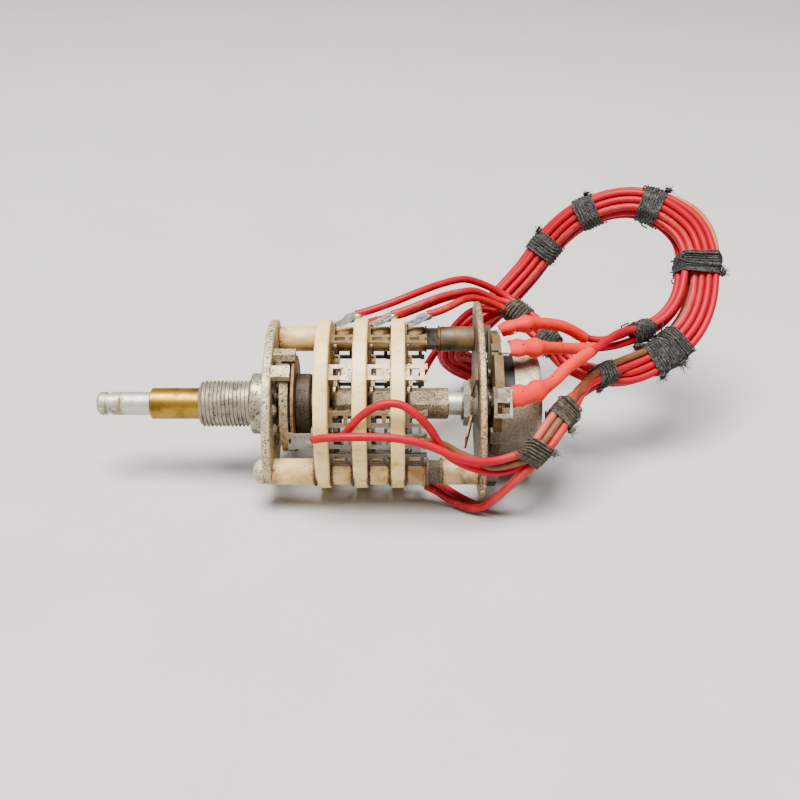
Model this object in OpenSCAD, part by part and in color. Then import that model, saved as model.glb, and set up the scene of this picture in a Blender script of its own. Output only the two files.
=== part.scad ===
// Rotary wafer switch with three ceramic wafers, concentric shafts, a rear
// potentiometer on the inner shaft and a laced wire harness.
// X runs along the shafts, the knob end is -X, and the origin lies on the
// shaft axis in the face that seats against the panel.

/* [Shafts] */
// Diameter of the solid inner shaft that works the potentiometer
inner_shaft_d = 4.76; // [4:0.01:5]
// Length of the inner shaft in front of the panel seat
inner_shaft_reach = 31.4; // [26:0.1:60]
// Diameter of the tubular outer shaft that works the switch
outer_shaft_d = 6.35; // [6.2:0.01:6.8]
// Length of the outer shaft in front of the panel seat
outer_shaft_reach = 20.5; // [14:0.1:24]
// Distance between the two flats of the drive tube
drive_flat_w = 5.6; // [5.4:0.05:6]
// Radial clearance of the running fits
running_fit = 0.05; // [0.02:0.01:0.08]

/* [Bushing] */
// Major diameter of the panel thread
thread_d = 9.53; // [9:0.01:11]
// Length of the panel thread
thread_len = 10.4; // [6:0.1:13]
// Diameter of the shoulder that seats on the panel
shoulder_d = 12.4; // [11.5:0.1:13]
// Length of the shoulder
shoulder_len = 3.2; // [2.6:0.1:4]

/* [Plates] */
// Distance of each through bolt inside the edge of the wafers
bolt_inset = 2.4; // [2.2:0.1:2.6]
// Diameter of the through bolts
bolt_d = 3; // [2.6:0.1:3.2]
// Thickness of the front plate
front_plate_t = 1.7; // [1.2:0.1:2.2]
// Half the width of the front plate across its bolt line
front_plate_half_w = 12; // [11.5:0.1:14]
// Length of the front plate past the lower bolt
front_plate_past = 2.1; // [2:0.1:3]
// Shift of the front plate towards the upper bolt
front_plate_shift = 0.75; // [0:0.05:1.5]
// Thickness of the rear plate
rear_plate_t = 1.3; // [1:0.1:1.8]
// Half the width of the rear plate across its bolt line
rear_plate_half_w = 12; // [11:0.1:12.5]
// Length of the rear plate past the lower bolt
rear_plate_past = 5; // [4.4:0.1:5.6]
// Shift of the rear plate towards the upper bolt
rear_plate_shift = 1.6; // [0:0.1:2.5]
// Turn of the bolt line from level, as the switch lies
roll = 36; // [30:1:40]

/* [Wafers] */
// Radius of each ceramic wafer
wafer_r = 17.2; // [17.2:0.1:19]
// Thickness of each ceramic wafer
wafer_t = 2.7; // [2:0.1:3]
// Gap between one wafer and the next
wafer_gap = 4.65; // [4.5:0.05:6]
// Gap from the front plate to the first wafer
front_gap = 8.7; // [8.7:0.1:11]
// Gap from the last wafer to the rear plate
rear_gap = 14.6; // [14.4:0.1:18]
// Radius of the rotor hole in each wafer
rotor_hole_r = 8.8; // [8.6:0.05:9.2]
// Distance of the solder lugs inside the edge of the wafers
lug_inset = 2.45; // [2.2:0.05:3]
// Number of contact positions around a wafer
positions = 10; // [10:1:10]

/* [Index] */
// Radius of the ring of detent bumps
detent_r = 7; // [6.8:0.05:7.2]
// Diameter of the index balls
ball_d = 2.7; // [2.7:0.1:3]
// Height of the detent bumps above the plate
bump_h = 0.8; // [0.5:0.05:0.9]
// Radius of the ball carrier
carrier_r = 9.8; // [9:0.1:9.9]

/* [Potentiometer] */
// Outer radius of the metal can
can_r = 10.2; // [9.9:0.1:10.6]
// Depth of the metal can behind its base
can_depth = 7.9; // [7.4:0.1:10]
// Wall of the metal can
can_wall = 0.45; // [0.35:0.05:0.5]
// Thickness of the phenolic base
base_t = 1.7; // [1.4:0.1:2]
// Radius at which the terminals turn to the rear
terminal_r = 14.85; // [14.4:0.05:15.2]

/* [Harness] */
// Outer diameter of one hook-up wire
wire_d = 1.6; // [1.2:0.1:1.6]
// Diameter of the laced trunk
trunk_d = 6.4; // [5:0.1:6.6]
// Width of one lacing tie along its bundle
tie_w = 4.4; // [3:0.1:5]
// Thickness of one lacing tie
tie_t = 0.6; // [0.4:0.05:0.8]

/* [Hidden] */
$fn = 48;

// Shared allowances of the fits
seat_gap = 0.03;
blade_gap = 0.15;
swing_gap = 0.2;
cut_past = 1;

// Stations along the shaft axis, from the panel seat to the rear
plate_x = shoulder_len;
plate_back_x = plate_x + front_plate_t;
bump_x = plate_back_x + bump_h;
ball_x = bump_x + swing_gap + ball_d / 2;
carrier_t = 1.6;
carrier_x = ball_x - carrier_t / 2;
carrier_hub_t = ball_d / 2 - carrier_t / 2 + seat_gap;
spring_x = carrier_x + carrier_t + carrier_hub_t;
spring_t = 0.5;
collar_x = spring_x + spring_t;
collar_len = 3;
collar_r = 6.1;
wafer_x = plate_back_x + front_gap;
wafer_pitch = wafer_t + wafer_gap;
wafer_count = 3;
stack_x = wafer_x + (wafer_count - 1) * wafer_pitch + wafer_t;
rear_plate_x = stack_x + rear_gap;
rear_plate_back_x = rear_plate_x + rear_plate_t;
drive_end_gap = 5.7;
drive_end_x = rear_plate_x - drive_end_gap;

// Shafts and drive tube, with the necks that part each knob seat from its journal
outer_r = outer_shaft_d / 2;
inner_r = inner_shaft_d / 2;
tube_bore_r = inner_r + running_fit;
shaft_joint_x = carrier_x + carrier_t;
neck_w = 0.85;
neck_d = 0.25;
neck_lead = 0.15;
inner_tip = 0.6;
groove_w = 1.2;

// Bushing and front plate
bushing_bore_r = outer_r + running_fit;
shank_r = 4.4;
stake_len = 0.35;
edge_break = 0.25;
bolt_r = bolt_d / 2;
bolt_offset = wafer_r - bolt_inset;
bolt_clear = 0.1;
bolt_head_r = 2.5;
bolt_head_len = 2.3;
tip_past = 1;
front_plate_half_len = bolt_offset + front_plate_shift + front_plate_past;
rear_plate_half_len = bolt_offset + rear_plate_shift + rear_plate_past;

// Stop tabs bent from the front plate, and the nose of the carrier between them
tab_angles = [54, 82];
tab_w = 2.6;
tab_t = 1.4;
tab_gap = 0.6;
tab_lens = [4.4, 3.6];
nose_angle = 248;
nose_w = 2.6;
nose_out = 1.7;

// Spacers, washers and nuts on the through bolts
spacer_r = 2.6;
fibre_t = 0.35;
fibre_r = 2.9;
short_spacer_len = 3.9;
steel_washer_t = 0.4;
steel_washer_r = 2.75;
clamp_nut_len = 2.3;
clamp_nut_flat = 4;
rear_nut_len = 1.6;
rear_nut_flat = 5;
bolt_tip_len = 0.6;
short_spacer_x = stack_x + fibre_t;
clamp_washer_x = short_spacer_x + short_spacer_len;
clamp_nut_x = clamp_washer_x + steel_washer_t;
rear_washer_x = clamp_nut_x + clamp_nut_len;
rear_spacer_x = rear_washer_x + steel_washer_t;

// Contact clips
lug_r = wafer_r - lug_inset;
lug_t = 0.45;
lug_w = 3.2;
lug_len = 4.3;
lug_ear_w = 3.6;
lug_ear_len = 0.8;
lug_notch_w = 1.3;
lug_notch_len = 0.55;
lug_window = [2.1, 1.6];
lug_window_x = 0.85;
foot_t = 0.4;
foot_tip_w = 2;
foot_tip_r = 9.6;
jaw_w = 1.5;
jaw_t = 0.35;
jaw_tip_r = 7.3;
rivet_r = 0.8;
rivet_head_r = 1.25;
rivet_head_t = 0.35;
rivet_inset = 5.6;
rivet_at_r = wafer_r - rivet_inset;
contact_angles = [for (i = [0 : positions - 1]) (i + 0.5) * 360 / positions];
common_angle = 144;
bent_angle = 18;
bent_tilt = 24;
bent_out = 1.6;
front_lug_len = 5;

// Rotors and their blades
rotor_r = rotor_hole_r - swing_gap;
rotor_sink = 0.2;
rotor_boss_r = 6;
blade_t = 0.4;
blade_lift = foot_t + blade_gap;
blade_ring_r = 6.9;
blade_tip_r = 8.3;
blade_tip_w = 2.4;
common_jaw_tip_r = 6;
stud_r = 0.6;
stud_at_r = 5;
stud_angles = [0, 180];
jaw_lift = blade_lift + blade_t + blade_gap;

// Potentiometer stack, from its nut in front of the rear plate to the can
pot_thread_r = 3.4;
pot_nut_len = 1.2;
pot_nut_flat = 8;
leaf_t = 0.4;
leaf_hub_r = 5;
leaf_w = 4;
leaf_reach = 10;
pot_washer_t = 1.1;
pot_washer_r = 4;
lock_washer_t = 0.4;
lock_washer_r = 5.4;
lock_teeth = 12;
pot_flange_t = 1;
pot_flange_r = 5;
pot_washer_x = rear_plate_x - pot_washer_t;
leaf_x = pot_washer_x - leaf_t;
pot_nut_x = leaf_x - pot_nut_len;
pot_thread_end = 0.4;
pot_flange_x = rear_plate_back_x + lock_washer_t;
base_x = pot_flange_x + pot_flange_t;
base_back_x = base_x + base_t;
base_r = can_r;
fan_angle = 67;
terminal_step = 41;
fan_margin = 9;
terminal_angles = [for (i = [-1 : 1]) fan_angle + i * terminal_step];
terminal_w = 3;
terminal_t = 0.45;
terminal_len = 5.6;
terminal_foot_w = 3.4;
terminal_neck_w = 1.6;
can_in_r = can_r - can_wall;
liner_t = 0.3;
liner_gap = 0.05;
liner_r = can_in_r - liner_gap;
track_t = 0.3;
track_gap = 0.3;
track_w = 3.2;
track_span = 300;
track_out_r = liner_r - liner_t - track_gap;
track_in_r = track_out_r - track_w;
pot_rivet_inset = 0.9;
pot_rivet_at_r = track_out_r - pot_rivet_inset;
pot_rivet_r = 0.7;
pot_rivet_head_r = 1;
pot_rivet_head_t = 0.35;
can_round = 1.2;
can_window_span = 104;
can_window_len = 2.6;
crimp_angles = [fan_angle + 90, fan_angle + 180, fan_angle + 270];
crimp_w = 3.2;
crimp_fold = 1.1;
crimp_gap = 0.1;
can_end_x = base_back_x + can_depth;
hub_gap = 0.6;
hub_x = base_back_x + track_t + hub_gap;
hub_len = 4.4;
hub_inset = 0.5;
hub_r = track_in_r - hub_inset;
contact_t = 0.3;
contact_reach = 0.7;
contact_r = track_in_r + contact_reach;
contact_w = 1.6;
contact_gap = 0.12;
inner_end_past = 0.3;
inner_end_x = hub_x + hub_len + inner_end_past;

// Places along the harness, chosen by eye so that the wires clear the switch
trunk_route = [
    [70, 5, 4], [77, 8, 4], [83, 11, 5], [87, 13, 7], [92, 17, 10], [95, 22, 14], [96, 27, 19],
    [95, 32, 24], [92, 35, 27], [86, 38, 30], [79, 40, 30], [72, 41, 27], [67, 41, 23], [63, 40, 18],
    [60, 38, 14], [56, 36, 10], [52, 33.5, 6.5], [48, 30.5, 4], [44.5, 29, 1.5], [42, 29.3, -2],
    [42, 31.3, -5.5], [44.5, 33.3, -8.5], [48.5, 34, -10.6], [52.5, 33.6, -12], [56.5, 32.3, -13], [61, 30, -14]
];
top_branch_route = [[54, 23, 11], [58, 19, 9], [62, 15, 7], [66, 10, 5], [70, 5, 4]];
front_branch_route = [[55, -16, -4], [58, -14, 0], [62, -9, 3], [66, -3, 4], [70, 5, 4]];
pot_branch_route = [[80, 13, 10], [85, 15, 11], [89, 18, 14], [92, 22, 17], [95, 27, 19]];
top_lead_routes = [
    [[20.9, 10.7, 14.95], [23.5, 11.2, 15.5], [27, 12, 16.4], [30.4, 13.2, 17.3], [33.8, 15, 18],
        [37, 17.3, 18.3], [40, 20, 18.1], [43.5, 22.3, 17.9], [46.5, 23.7, 16.6], [50.5, 24.5, 14.5],
        [54, 24, 12.5]],
    [[18.5, 15, 5], [21, 17.3, 8.6], [24, 17, 10.4], [27.5, 16.6, 11.3], [31, 16.5, 12.4], [34.6, 17, 13.7],
        [39, 19.5, 14.4], [43.4, 23, 14], [46.5, 25, 13], [50.5, 25.5, 11.6], [54, 24.5, 10.5]],
    [[28.25, 10.7, 14.95], [31, 11.2, 15.6], [34.6, 12.4, 16.6], [39, 15, 17.2], [43.4, 18.5, 16.6],
        [46.5, 21.2, 15.6], [50.5, 22.3, 13], [54, 22, 12.5]],
    [[35.6, 10.7, 14.95], [38, 11.3, 15.3], [41, 13.2, 15.9], [43.5, 16.2, 15.9], [46.2, 19.2, 14.8],
        [50.5, 20.6, 12.6], [54, 20.5, 11]],
    [[33.5, 15, 5], [37, 17.5, 5.5], [41, 19.5, 4.5], [43.5, 21.2, 4.7], [46.2, 23.5, 6], [50.5, 22.3, 9.6],
        [54, 22.5, 10.5]],
    [[33.5, 15, -5], [36, 19, -1], [39, 21.5, 2.5], [42, 23.5, 6], [46, 25, 9.5], [50.5, 24.5, 9.5],
        [54, 23, 8.5]]
];
front_lead_routes = [
    [[10.5, -16, 0.5], [12.5, -18, 2], [16, -19, 3.5], [21, -19.5, 4], [26, -19.5, 4], [31, -19.5, 3.5],
        [36, -19.5, 2], [41, -20, -0.5], [47, -19, -3], [51.5, -18, -3], [55, -17, -2]],
    [[18.5, -16, 0.5], [20, -17.5, 3], [21.5, -17.5, 6], [24, -17.5, 8.5], [27, -17.5, 10], [30, -17.5, 10],
        [32.5, -18, 8.5], [35, -18, 6], [37, -18, 2.5], [39, -18, -1], [43, -18, -3.5], [48, -17.5, -5.5],
        [52, -16.5, -5], [55, -15.5, -3.5]],
    [[33.5, -16, 0.3], [36, -16.4, 1.2], [39, -16.2, -0.1], [41, -16.3, -1.5], [43, -16.2, -2.5],
        [46, -17, -3], [48, -16, -3.5], [52, -15.5, -3], [55, -14.5, -2]],
    [[33.5, -9.5, -13], [37, -10.5, -14], [40, -12, -15.5], [43.5, -14, -16], [46.5, -15.5, -15],
        [50, -16.5, -10.5], [53, -17, -7.5], [55, -17.5, -5]],
    [[33.5, 0, -16], [37, -4, -16], [41, -9, -16], [44, -12, -16], [46.5, -13.5, -16], [50, -14.5, -12],
        [53, -14.5, -8.5], [55, -14.5, -5.5]]
];
sleeve_routes = [
    [[50.5, 7, 13], [54, 7.5, 14], [59, 9.5, 13.5], [64, 11, 12], [69, 12.5, 8.5]],
    [[51, -3, 14], [55, -2, 13], [60, 1, 12], [65, 4, 10.5], [70, 6, 9.5]],
    [[51, -12, 8.5], [55, -11, 8.5], [59, -8, 9], [63, -4, 10.5], [68, 0, 12]]
];
sleeve_radii = [1.7, 2.1, 1.8, 2.1, 1.2];
pot_lead_routes = [
    [[69, 12.5, 8.5], [73, 13.5, 7.5], [77, 14, 8.5], [80, 14, 10.5]],
    [[70, 6, 9.5], [74, 8, 9], [77, 10.5, 8.5], [80, 12.5, 8.5]],
    [[68, 0, 12], [71, 3.5, 12], [74, 7.5, 12], [77, 10.5, 11.5], [80, 12, 11]]
];
wire_r = wire_d / 2;
wire_sides = 8;
bundle_sides = 12;
trunk_r = trunk_d / 2;
top_branch_r = 2.7;
front_branch_r = 2.5;
pot_branch_r = 1.8;

// Route and radius of each bundle, and the place of each of its lacing ties
bundles = [
    [trunk_route, trunk_r, [0, 3, 6, 9, 11, 13]],
    [top_branch_route, top_branch_r, [0, 2]],
    [front_branch_route, front_branch_r, [0, 2]],
    [pot_branch_route, pot_branch_r, [0]]
];

// Stands a shape that was drawn along Z on the shaft axis at station x
module along_x(x) {
    translate([x, 0, 0]) rotate([0, 90, 0]) children();
}

// Raises an outline that lies across the shaft axis to thickness t from station x
module across_x(x, t) {
    translate([x, 0, 0]) rotate([90, 0, 90]) linear_extrude(t) children();
}

// Turns the switch about the shaft axis to the way it lies
module rolled() {
    rotate([roll, 0, 0]) children();
}

// Places a shape at a polar position around the shaft axis
module at_polar(angle, r) {
    rotate([angle, 0, 0]) translate([0, r, 0]) children();
}

// Both through bolts share this placement
module at_bolts() {
    for (angle = [0, 180]) at_polar(angle, bolt_offset) children();
}

// Round piece with broken rims and an optional bore
module turned(x, len, r, bore = 0, rim = 0) {
    along_x(x) rotate_extrude()
        polygon([[bore, 0], [r - rim, 0], [r, rim], [r, len - rim], [r - rim, len], [bore, len]]);
}

// Oval plate, bounded by two wide arcs and by the tip radius, with broken edges
module oval_plate(x, t, half_w, half_len) {
    tip_r = half_len + tip_past;
    arc_r = (tip_r * tip_r + half_w * half_w) / (2 * half_w);
    intersection() {
        plate_arc(1, x, t, arc_r, half_w);
        plate_arc(-1, x, t, arc_r, half_w);
        turned(x, t, half_len, rim = edge_break);
    }
}

// One of the two wide arcs of an oval plate
module plate_arc(side, x, t, arc_r, half_w) {
    translate([0, 0, side * (half_w - arc_r)]) turned(x, t, arc_r, rim = edge_break);
}

// Hexagonal nut with its hole
module hex_nut(x, len, flat_w, hole_r) {
    along_x(x) difference() {
        cylinder(h = len, r = flat_w / 2 / cos(30), $fn = 6);
        translate([0, 0, -cut_past]) cylinder(h = len + 2 * cut_past, r = hole_r, $fn = 48);
    }
}

// Opening that slides over the flatted drive tube
module drive_hole(x, len) {
    intersection() {
        turned(x, len, outer_r + seat_gap);
        translate([x, -outer_shaft_d, -drive_flat_w / 2 - seat_gap])
            cube([len, 2 * outer_shaft_d, drive_flat_w + 2 * seat_gap]);
    }
}

function wafer_at(i) = wafer_x + i * wafer_pitch;

module front_plate() {
    color("silver") rolled() {
        difference() {
            union() {
                translate([0, front_plate_shift, 0])
                    oval_plate(plate_x, front_plate_t, front_plate_half_w, front_plate_half_len);
                for (angle = contact_angles) at_polar(angle, detent_r) detent_bump();
                for (i = [0 : len(tab_angles) - 1]) stop_tab(tab_angles[i], tab_lens[i]);
            }
            turned(plate_x - cut_past, front_plate_t + 2 * cut_past, shank_r + seat_gap);
            at_bolts() turned(plate_x - cut_past, front_plate_t + 2 * cut_past, bolt_r + bolt_clear);
        }
    }
}

// Domed bump that the index balls drop between
module detent_bump() {
    dome_r = ball_d / 2;
    intersection() {
        translate([bump_x - dome_r, 0, 0]) sphere(dome_r);
        turned(plate_x + edge_break, front_plate_t + bump_h, 2 * dome_r);
    }
}

// Tab bent back from the plate, which the nose of the carrier runs against
module stop_tab(angle, len) {
    root = front_plate_t / 2;
    at_polar(angle, carrier_r + tab_gap)
        translate([plate_back_x - root, 0, -tab_w / 2]) cube([len + root, tab_t, tab_w]);
}

module bushing() {
    lead = 0.6;
    round_edge = 0.5;
    seat_r = shoulder_d / 2;
    hole_r = bushing_bore_r;
    thread_r = thread_d / 2;
    color("lightgray") along_x(-thread_len) rotate_extrude() polygon([
        [hole_r, 0], [thread_r - lead, 0], [thread_r, lead], [thread_r, thread_len],
        [seat_r - round_edge, thread_len], [seat_r, thread_len + round_edge],
        [seat_r, thread_len + shoulder_len], [shank_r, thread_len + shoulder_len],
        [shank_r, thread_len + shoulder_len + front_plate_t + stake_len],
        [hole_r, thread_len + shoulder_len + front_plate_t + stake_len]
    ]);
}

// Two bolts: the upper one ends flush in the front plate, the lower one has a domed head
module through_bolts() {
    tip_x = rear_plate_back_x + steel_washer_t + rear_nut_len + bolt_tip_len;
    dome_r = bolt_head_len + bolt_head_r * bolt_head_r / bolt_head_len / 4;
    color("silver") rolled() {
        at_bolts() turned(plate_x, tip_x - plate_x, bolt_r);
        at_polar(180, bolt_offset) intersection() {
            turned(plate_x - bolt_head_len, bolt_head_len, bolt_head_r);
            translate([plate_x - bolt_head_len + dome_r, 0, 0]) sphere(dome_r);
        }
    }
}

// Tube that keeps two pieces of the stack apart on both bolts
module spacer_pair(x0, x1, r) {
    rolled() at_bolts() turned(x0, x1 - x0, r, bolt_r + bolt_clear, edge_break);
}

module front_spacers() {
    color("wheat") spacer_pair(plate_back_x, wafer_x - fibre_t, spacer_r);
}

module wafer_spacers() {
    color("wheat") for (i = [0 : wafer_count - 2])
        spacer_pair(wafer_at(i) + wafer_t + fibre_t, wafer_at(i + 1) - fibre_t, spacer_r);
}

module short_spacers() {
    color("wheat") spacer_pair(short_spacer_x, clamp_washer_x, spacer_r);
}

module fibre_washers() {
    color("saddlebrown") rolled() at_bolts() for (i = [0 : wafer_count - 1]) {
        turned(wafer_at(i) - fibre_t, fibre_t, fibre_r, bolt_r + bolt_clear);
        turned(wafer_at(i) + wafer_t, fibre_t, fibre_r, bolt_r + bolt_clear);
    }
}

module steel_washers() {
    color("dimgray") rolled() at_bolts() for (x = [clamp_washer_x, rear_washer_x, rear_plate_back_x])
        turned(x, steel_washer_t, steel_washer_r, bolt_r + bolt_clear);
}

module clamp_nuts() {
    color("gray") rolled() at_bolts() hex_nut(clamp_nut_x, clamp_nut_len, clamp_nut_flat, bolt_r);
}

module rear_spacers() {
    color("wheat") spacer_pair(rear_spacer_x, rear_plate_x, spacer_r);
}

module rear_nuts() {
    color("silver") rolled() at_bolts()
        hex_nut(rear_plate_back_x + steel_washer_t, rear_nut_len, rear_nut_flat, bolt_r);
}

module rear_plate() {
    color("tan") rolled() difference() {
        translate([0, rear_plate_shift, 0])
            oval_plate(rear_plate_x, rear_plate_t, rear_plate_half_w, rear_plate_half_len);
        turned(rear_plate_x - cut_past, rear_plate_t + 2 * cut_past, pot_thread_r + bolt_clear);
        at_bolts() turned(rear_plate_x - cut_past, rear_plate_t + 2 * cut_past, bolt_r + bolt_clear);
    }
}

// Ceramic disc with its rotor hole, bolt holes and rivet holes
module wafer(i) {
    x = wafer_at(i);
    color("cornsilk") rolled() difference() {
        turned(x, wafer_t, wafer_r, rotor_hole_r, edge_break);
        at_bolts() turned(x - cut_past, wafer_t + 2 * cut_past, bolt_r + bolt_clear);
        for (angle = clip_angles()) at_polar(angle, rivet_at_r)
            turned(x - cut_past, wafer_t + 2 * cut_past, rivet_r + seat_gap);
    }
}

function clip_angles() = concat(contact_angles, [common_angle]);

module wafer_1() { wafer(0); }
module wafer_2() { wafer(1); }
module wafer_3() { wafer(2); }

// Flat solder lug with a notched, eared tail, and a window for the wire
module lug_outline(len, windowed) {
    ear_x = len - lug_ear_len;
    difference() {
        union() {
            translate([0, -lug_w / 2]) square([len, lug_w]);
            translate([ear_x, -lug_ear_w / 2]) square([lug_ear_len, lug_ear_w]);
        }
        if (windowed) translate([lug_window_x, -lug_window[1] / 2]) square(lug_window);
        translate([len - lug_notch_len, -lug_notch_w / 2]) square([2 * lug_notch_len, lug_notch_w]);
    }
}

// Lug that stands off the wafer along the axis, further out and tilted where it was bent
module lug(len, tilt = 0, out = 0, windowed = true) {
    translate([0, lug_r + out, 0]) rotate([90, 0, tilt]) linear_extrude(lug_t) lug_outline(len, windowed);
}

// Foot that lies on the wafer, from the lug in to the jaws
module clip_foot(tip_r, out = 0) {
    root_r = lug_r + out;
    across_x(0, foot_t) difference() {
        union() {
            polygon([[root_r, -lug_w / 2], [root_r, lug_w / 2], [foot_tip_r, foot_tip_w / 2],
                [foot_tip_r, -foot_tip_w / 2]]);
            translate([tip_r, -jaw_w / 2]) square([lug_r - tip_r, jaw_w]);
        }
        translate([rivet_at_r, 0]) circle(rivet_r + seat_gap);
    }
}

// Upper jaw that closes on the rotor blade from behind
module clip_jaw(tip_r) {
    translate([jaw_lift, tip_r, -jaw_w / 2]) cube([jaw_t, foot_tip_r - tip_r + jaw_t, jaw_w]);
    translate([0, foot_tip_r, -jaw_w / 2]) cube([jaw_lift + jaw_t, jaw_t, jaw_w]);
}

// One contact clip, with its lug and its jaws
module clip(upper_tip_r, tilt = 0, out = 0) {
    lug(lug_len, tilt, out);
    clip_foot(jaw_tip_r, out);
    clip_jaw(upper_tip_r);
}

module clips(i) {
    x = wafer_at(i) + wafer_t;
    color("darkkhaki") rolled() translate([x, 0, 0]) {
        for (angle = contact_angles) rotate([angle, 0, 0])
            clip(jaw_tip_r, angle == bent_angle ? bent_tilt : 0, angle == bent_angle ? bent_out : 0);
        rotate([common_angle, 0, 0]) clip(common_jaw_tip_r);
    }
}

module clips_1() {
    clips(0);
    color("darkkhaki") rolled() translate([wafer_x, 0, 0]) rotate([common_angle, 0, 0]) mirror([1, 0, 0]) {
        lug(front_lug_len, windowed = false);
        clip_foot(foot_tip_r);
    }
}
module clips_2() { clips(1); }
module clips_3() { clips(2); }

// Tubular rivets that hold the clips, headed on both sides
module clip_rivets(i) {
    color("gray") rolled() for (angle = clip_angles()) at_polar(angle, rivet_at_r) {
        front_foot = i == 0 && angle == common_angle ? foot_t : 0;
        x0 = wafer_at(i) - front_foot;
        x1 = wafer_at(i) + wafer_t + foot_t;
        turned(x0 - rivet_head_t, rivet_head_t, rivet_head_r);
        turned(x0 - rivet_head_t, x1 - x0 + 2 * rivet_head_t, rivet_r);
        turned(x1, rivet_head_t, rivet_head_r);
    }
}

module clip_rivets_1() { clip_rivets(0); }
module clip_rivets_2() { clip_rivets(1); }
module clip_rivets_3() { clip_rivets(2); }

// Narrow ring to cut from a shaft of radius r
module neck(x, w, r) {
    turned(x, w, 2 * r, r - neck_d);
}

module outer_shaft() {
    color("goldenrod") difference() {
        turned(-outer_shaft_reach, shaft_joint_x + outer_shaft_reach, outer_r, tube_bore_r, edge_break);
        neck(-thread_len - neck_lead, neck_w, outer_r);
    }
}

module ball_carrier() {
    pocket_r = ball_d / 2 + seat_gap;
    color("gray") rolled() difference() {
        union() {
            turned(carrier_x, carrier_t, carrier_r);
            turned(carrier_x, carrier_t + carrier_hub_t, outer_r + carrier_t);
            at_polar(nose_angle, 0) translate([carrier_x, 0, -nose_w / 2])
                cube([carrier_t, carrier_r + nose_out, nose_w]);
        }
        turned(carrier_x - cut_past, carrier_t + carrier_hub_t + 2 * cut_past, outer_r + seat_gap);
        at_balls() turned(carrier_x - cut_past, carrier_t + 2 * cut_past, pocket_r);
    }
}

// Two balls sit opposite each other, half way between bumps
module at_balls() {
    for (angle = [common_angle, common_angle + 180]) at_polar(angle, detent_r) children();
}

module index_balls() {
    color("saddlebrown") rolled() at_balls() translate([ball_x, 0, 0]) sphere(ball_d / 2);
}

module index_spring() {
    slot_w = 1.2;
    slot_r = 5;
    slot_span = 130;
    color("peru") rolled() difference() {
        turned(spring_x, spring_t, carrier_r + seat_gap, outer_r + seat_gap);
        for (angle = [common_angle, common_angle + 180]) rotate([angle - slot_span / 2, 0, 0])
            along_x(spring_x - cut_past) rotate([0, 0, 90]) rotate_extrude(angle = slot_span)
                translate([slot_r, 0]) square([slot_w, spring_t + 2 * cut_past]);
    }
}

module thrust_collar() {
    color("dimgray") rolled() difference() {
        turned(collar_x, collar_len, collar_r, rim = edge_break);
        drive_hole(collar_x - cut_past, collar_len + 2 * cut_past);
    }
}

module drive_tube() {
    color("darkgray") rolled() intersection() {
        turned(shaft_joint_x, drive_end_x - shaft_joint_x, outer_r, tube_bore_r, edge_break);
        translate([shaft_joint_x, -outer_shaft_d, -drive_flat_w / 2])
            cube([drive_end_x - shaft_joint_x, 2 * outer_shaft_d, drive_flat_w]);
    }
}

// Ceramic rotor that turns in the wafer's hole and carries the blade on two studs
module rotor(i) {
    x0 = wafer_at(i) + rotor_sink;
    x1 = wafer_at(i) + wafer_t - rotor_sink;
    seat_x = wafer_at(i) + wafer_t + blade_lift;
    color("ivory") rolled() difference() {
        union() {
            turned(x0, x1 - x0, rotor_r);
            turned(x0, seat_x - x0, rotor_boss_r);
            for (angle = stud_angles) at_polar(angle, stud_at_r)
                turned(x0, seat_x + 2 * blade_t - x0, stud_r);
        }
        drive_hole(x0 - cut_past, seat_x - x0 + 2 * cut_past);
    }
}

module rotor_1() { rotor(0); }
module rotor_2() { rotor(1); }
module rotor_3() { rotor(2); }

// Contact ring with one tip that reaches into the jaws
module rotor_blade(i) {
    x = wafer_at(i) + wafer_t + blade_lift;
    tip_angle = contact_angles[3 * i + 1];
    color("darkkhaki") rolled() across_x(x, blade_t) difference() {
        union() {
            circle(blade_ring_r);
            rotate(tip_angle) translate([stud_at_r, -blade_tip_w / 2])
                square([blade_tip_r - stud_at_r, blade_tip_w]);
        }
        circle(outer_r + blade_t);
        for (angle = stud_angles) rotate(angle) translate([stud_at_r, 0]) circle(stud_r + seat_gap);
    }
}

module rotor_blade_1() { rotor_blade(0); }
module rotor_blade_2() { rotor_blade(1); }
module rotor_blade_3() { rotor_blade(2); }

// Solid shaft with a ring groove near its tip
module inner_shaft() {
    color("gainsboro") difference() {
        turned(-inner_shaft_reach, inner_end_x + inner_shaft_reach, inner_r, rim = inner_tip);
        neck(inner_tip + groove_w - inner_shaft_reach, groove_w, inner_r);
        neck(-outer_shaft_reach - neck_lead, neck_w, inner_r);
    }
}

module pot_bushing() {
    color("darkgray") {
        turned(pot_nut_x - pot_thread_end, base_x - pot_nut_x + pot_thread_end, pot_thread_r, tube_bore_r);
        turned(pot_flange_x, pot_flange_t, pot_flange_r, tube_bore_r);
    }
}

module pot_nut() {
    color("silver") rolled() hex_nut(pot_nut_x, pot_nut_len, pot_nut_flat, pot_thread_r + seat_gap);
}

// Bronze leaf spring under the nut, with one wing bent to the plate and one away from it
module leaf_spring() {
    wing_angles = [75, 165];
    wing_tilts = [-9, 13];
    wing_root_r = leaf_hub_r - leaf_t;
    color("saddlebrown") rolled() difference() {
        union() {
            turned(leaf_x, leaf_t, leaf_hub_r);
            for (i = [0, 1]) rotate([wing_angles[i], 0, 0]) translate([leaf_x, wing_root_r, -leaf_w / 2])
                rotate([0, 0, wing_tilts[i]]) cube([leaf_t, leaf_reach - wing_root_r, leaf_w]);
        }
        turned(leaf_x - cut_past, leaf_t + 2 * cut_past, pot_thread_r + seat_gap);
    }
}

module pot_washer() {
    color("gray") turned(pot_washer_x, pot_washer_t, pot_washer_r, pot_thread_r + seat_gap);
}

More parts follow.
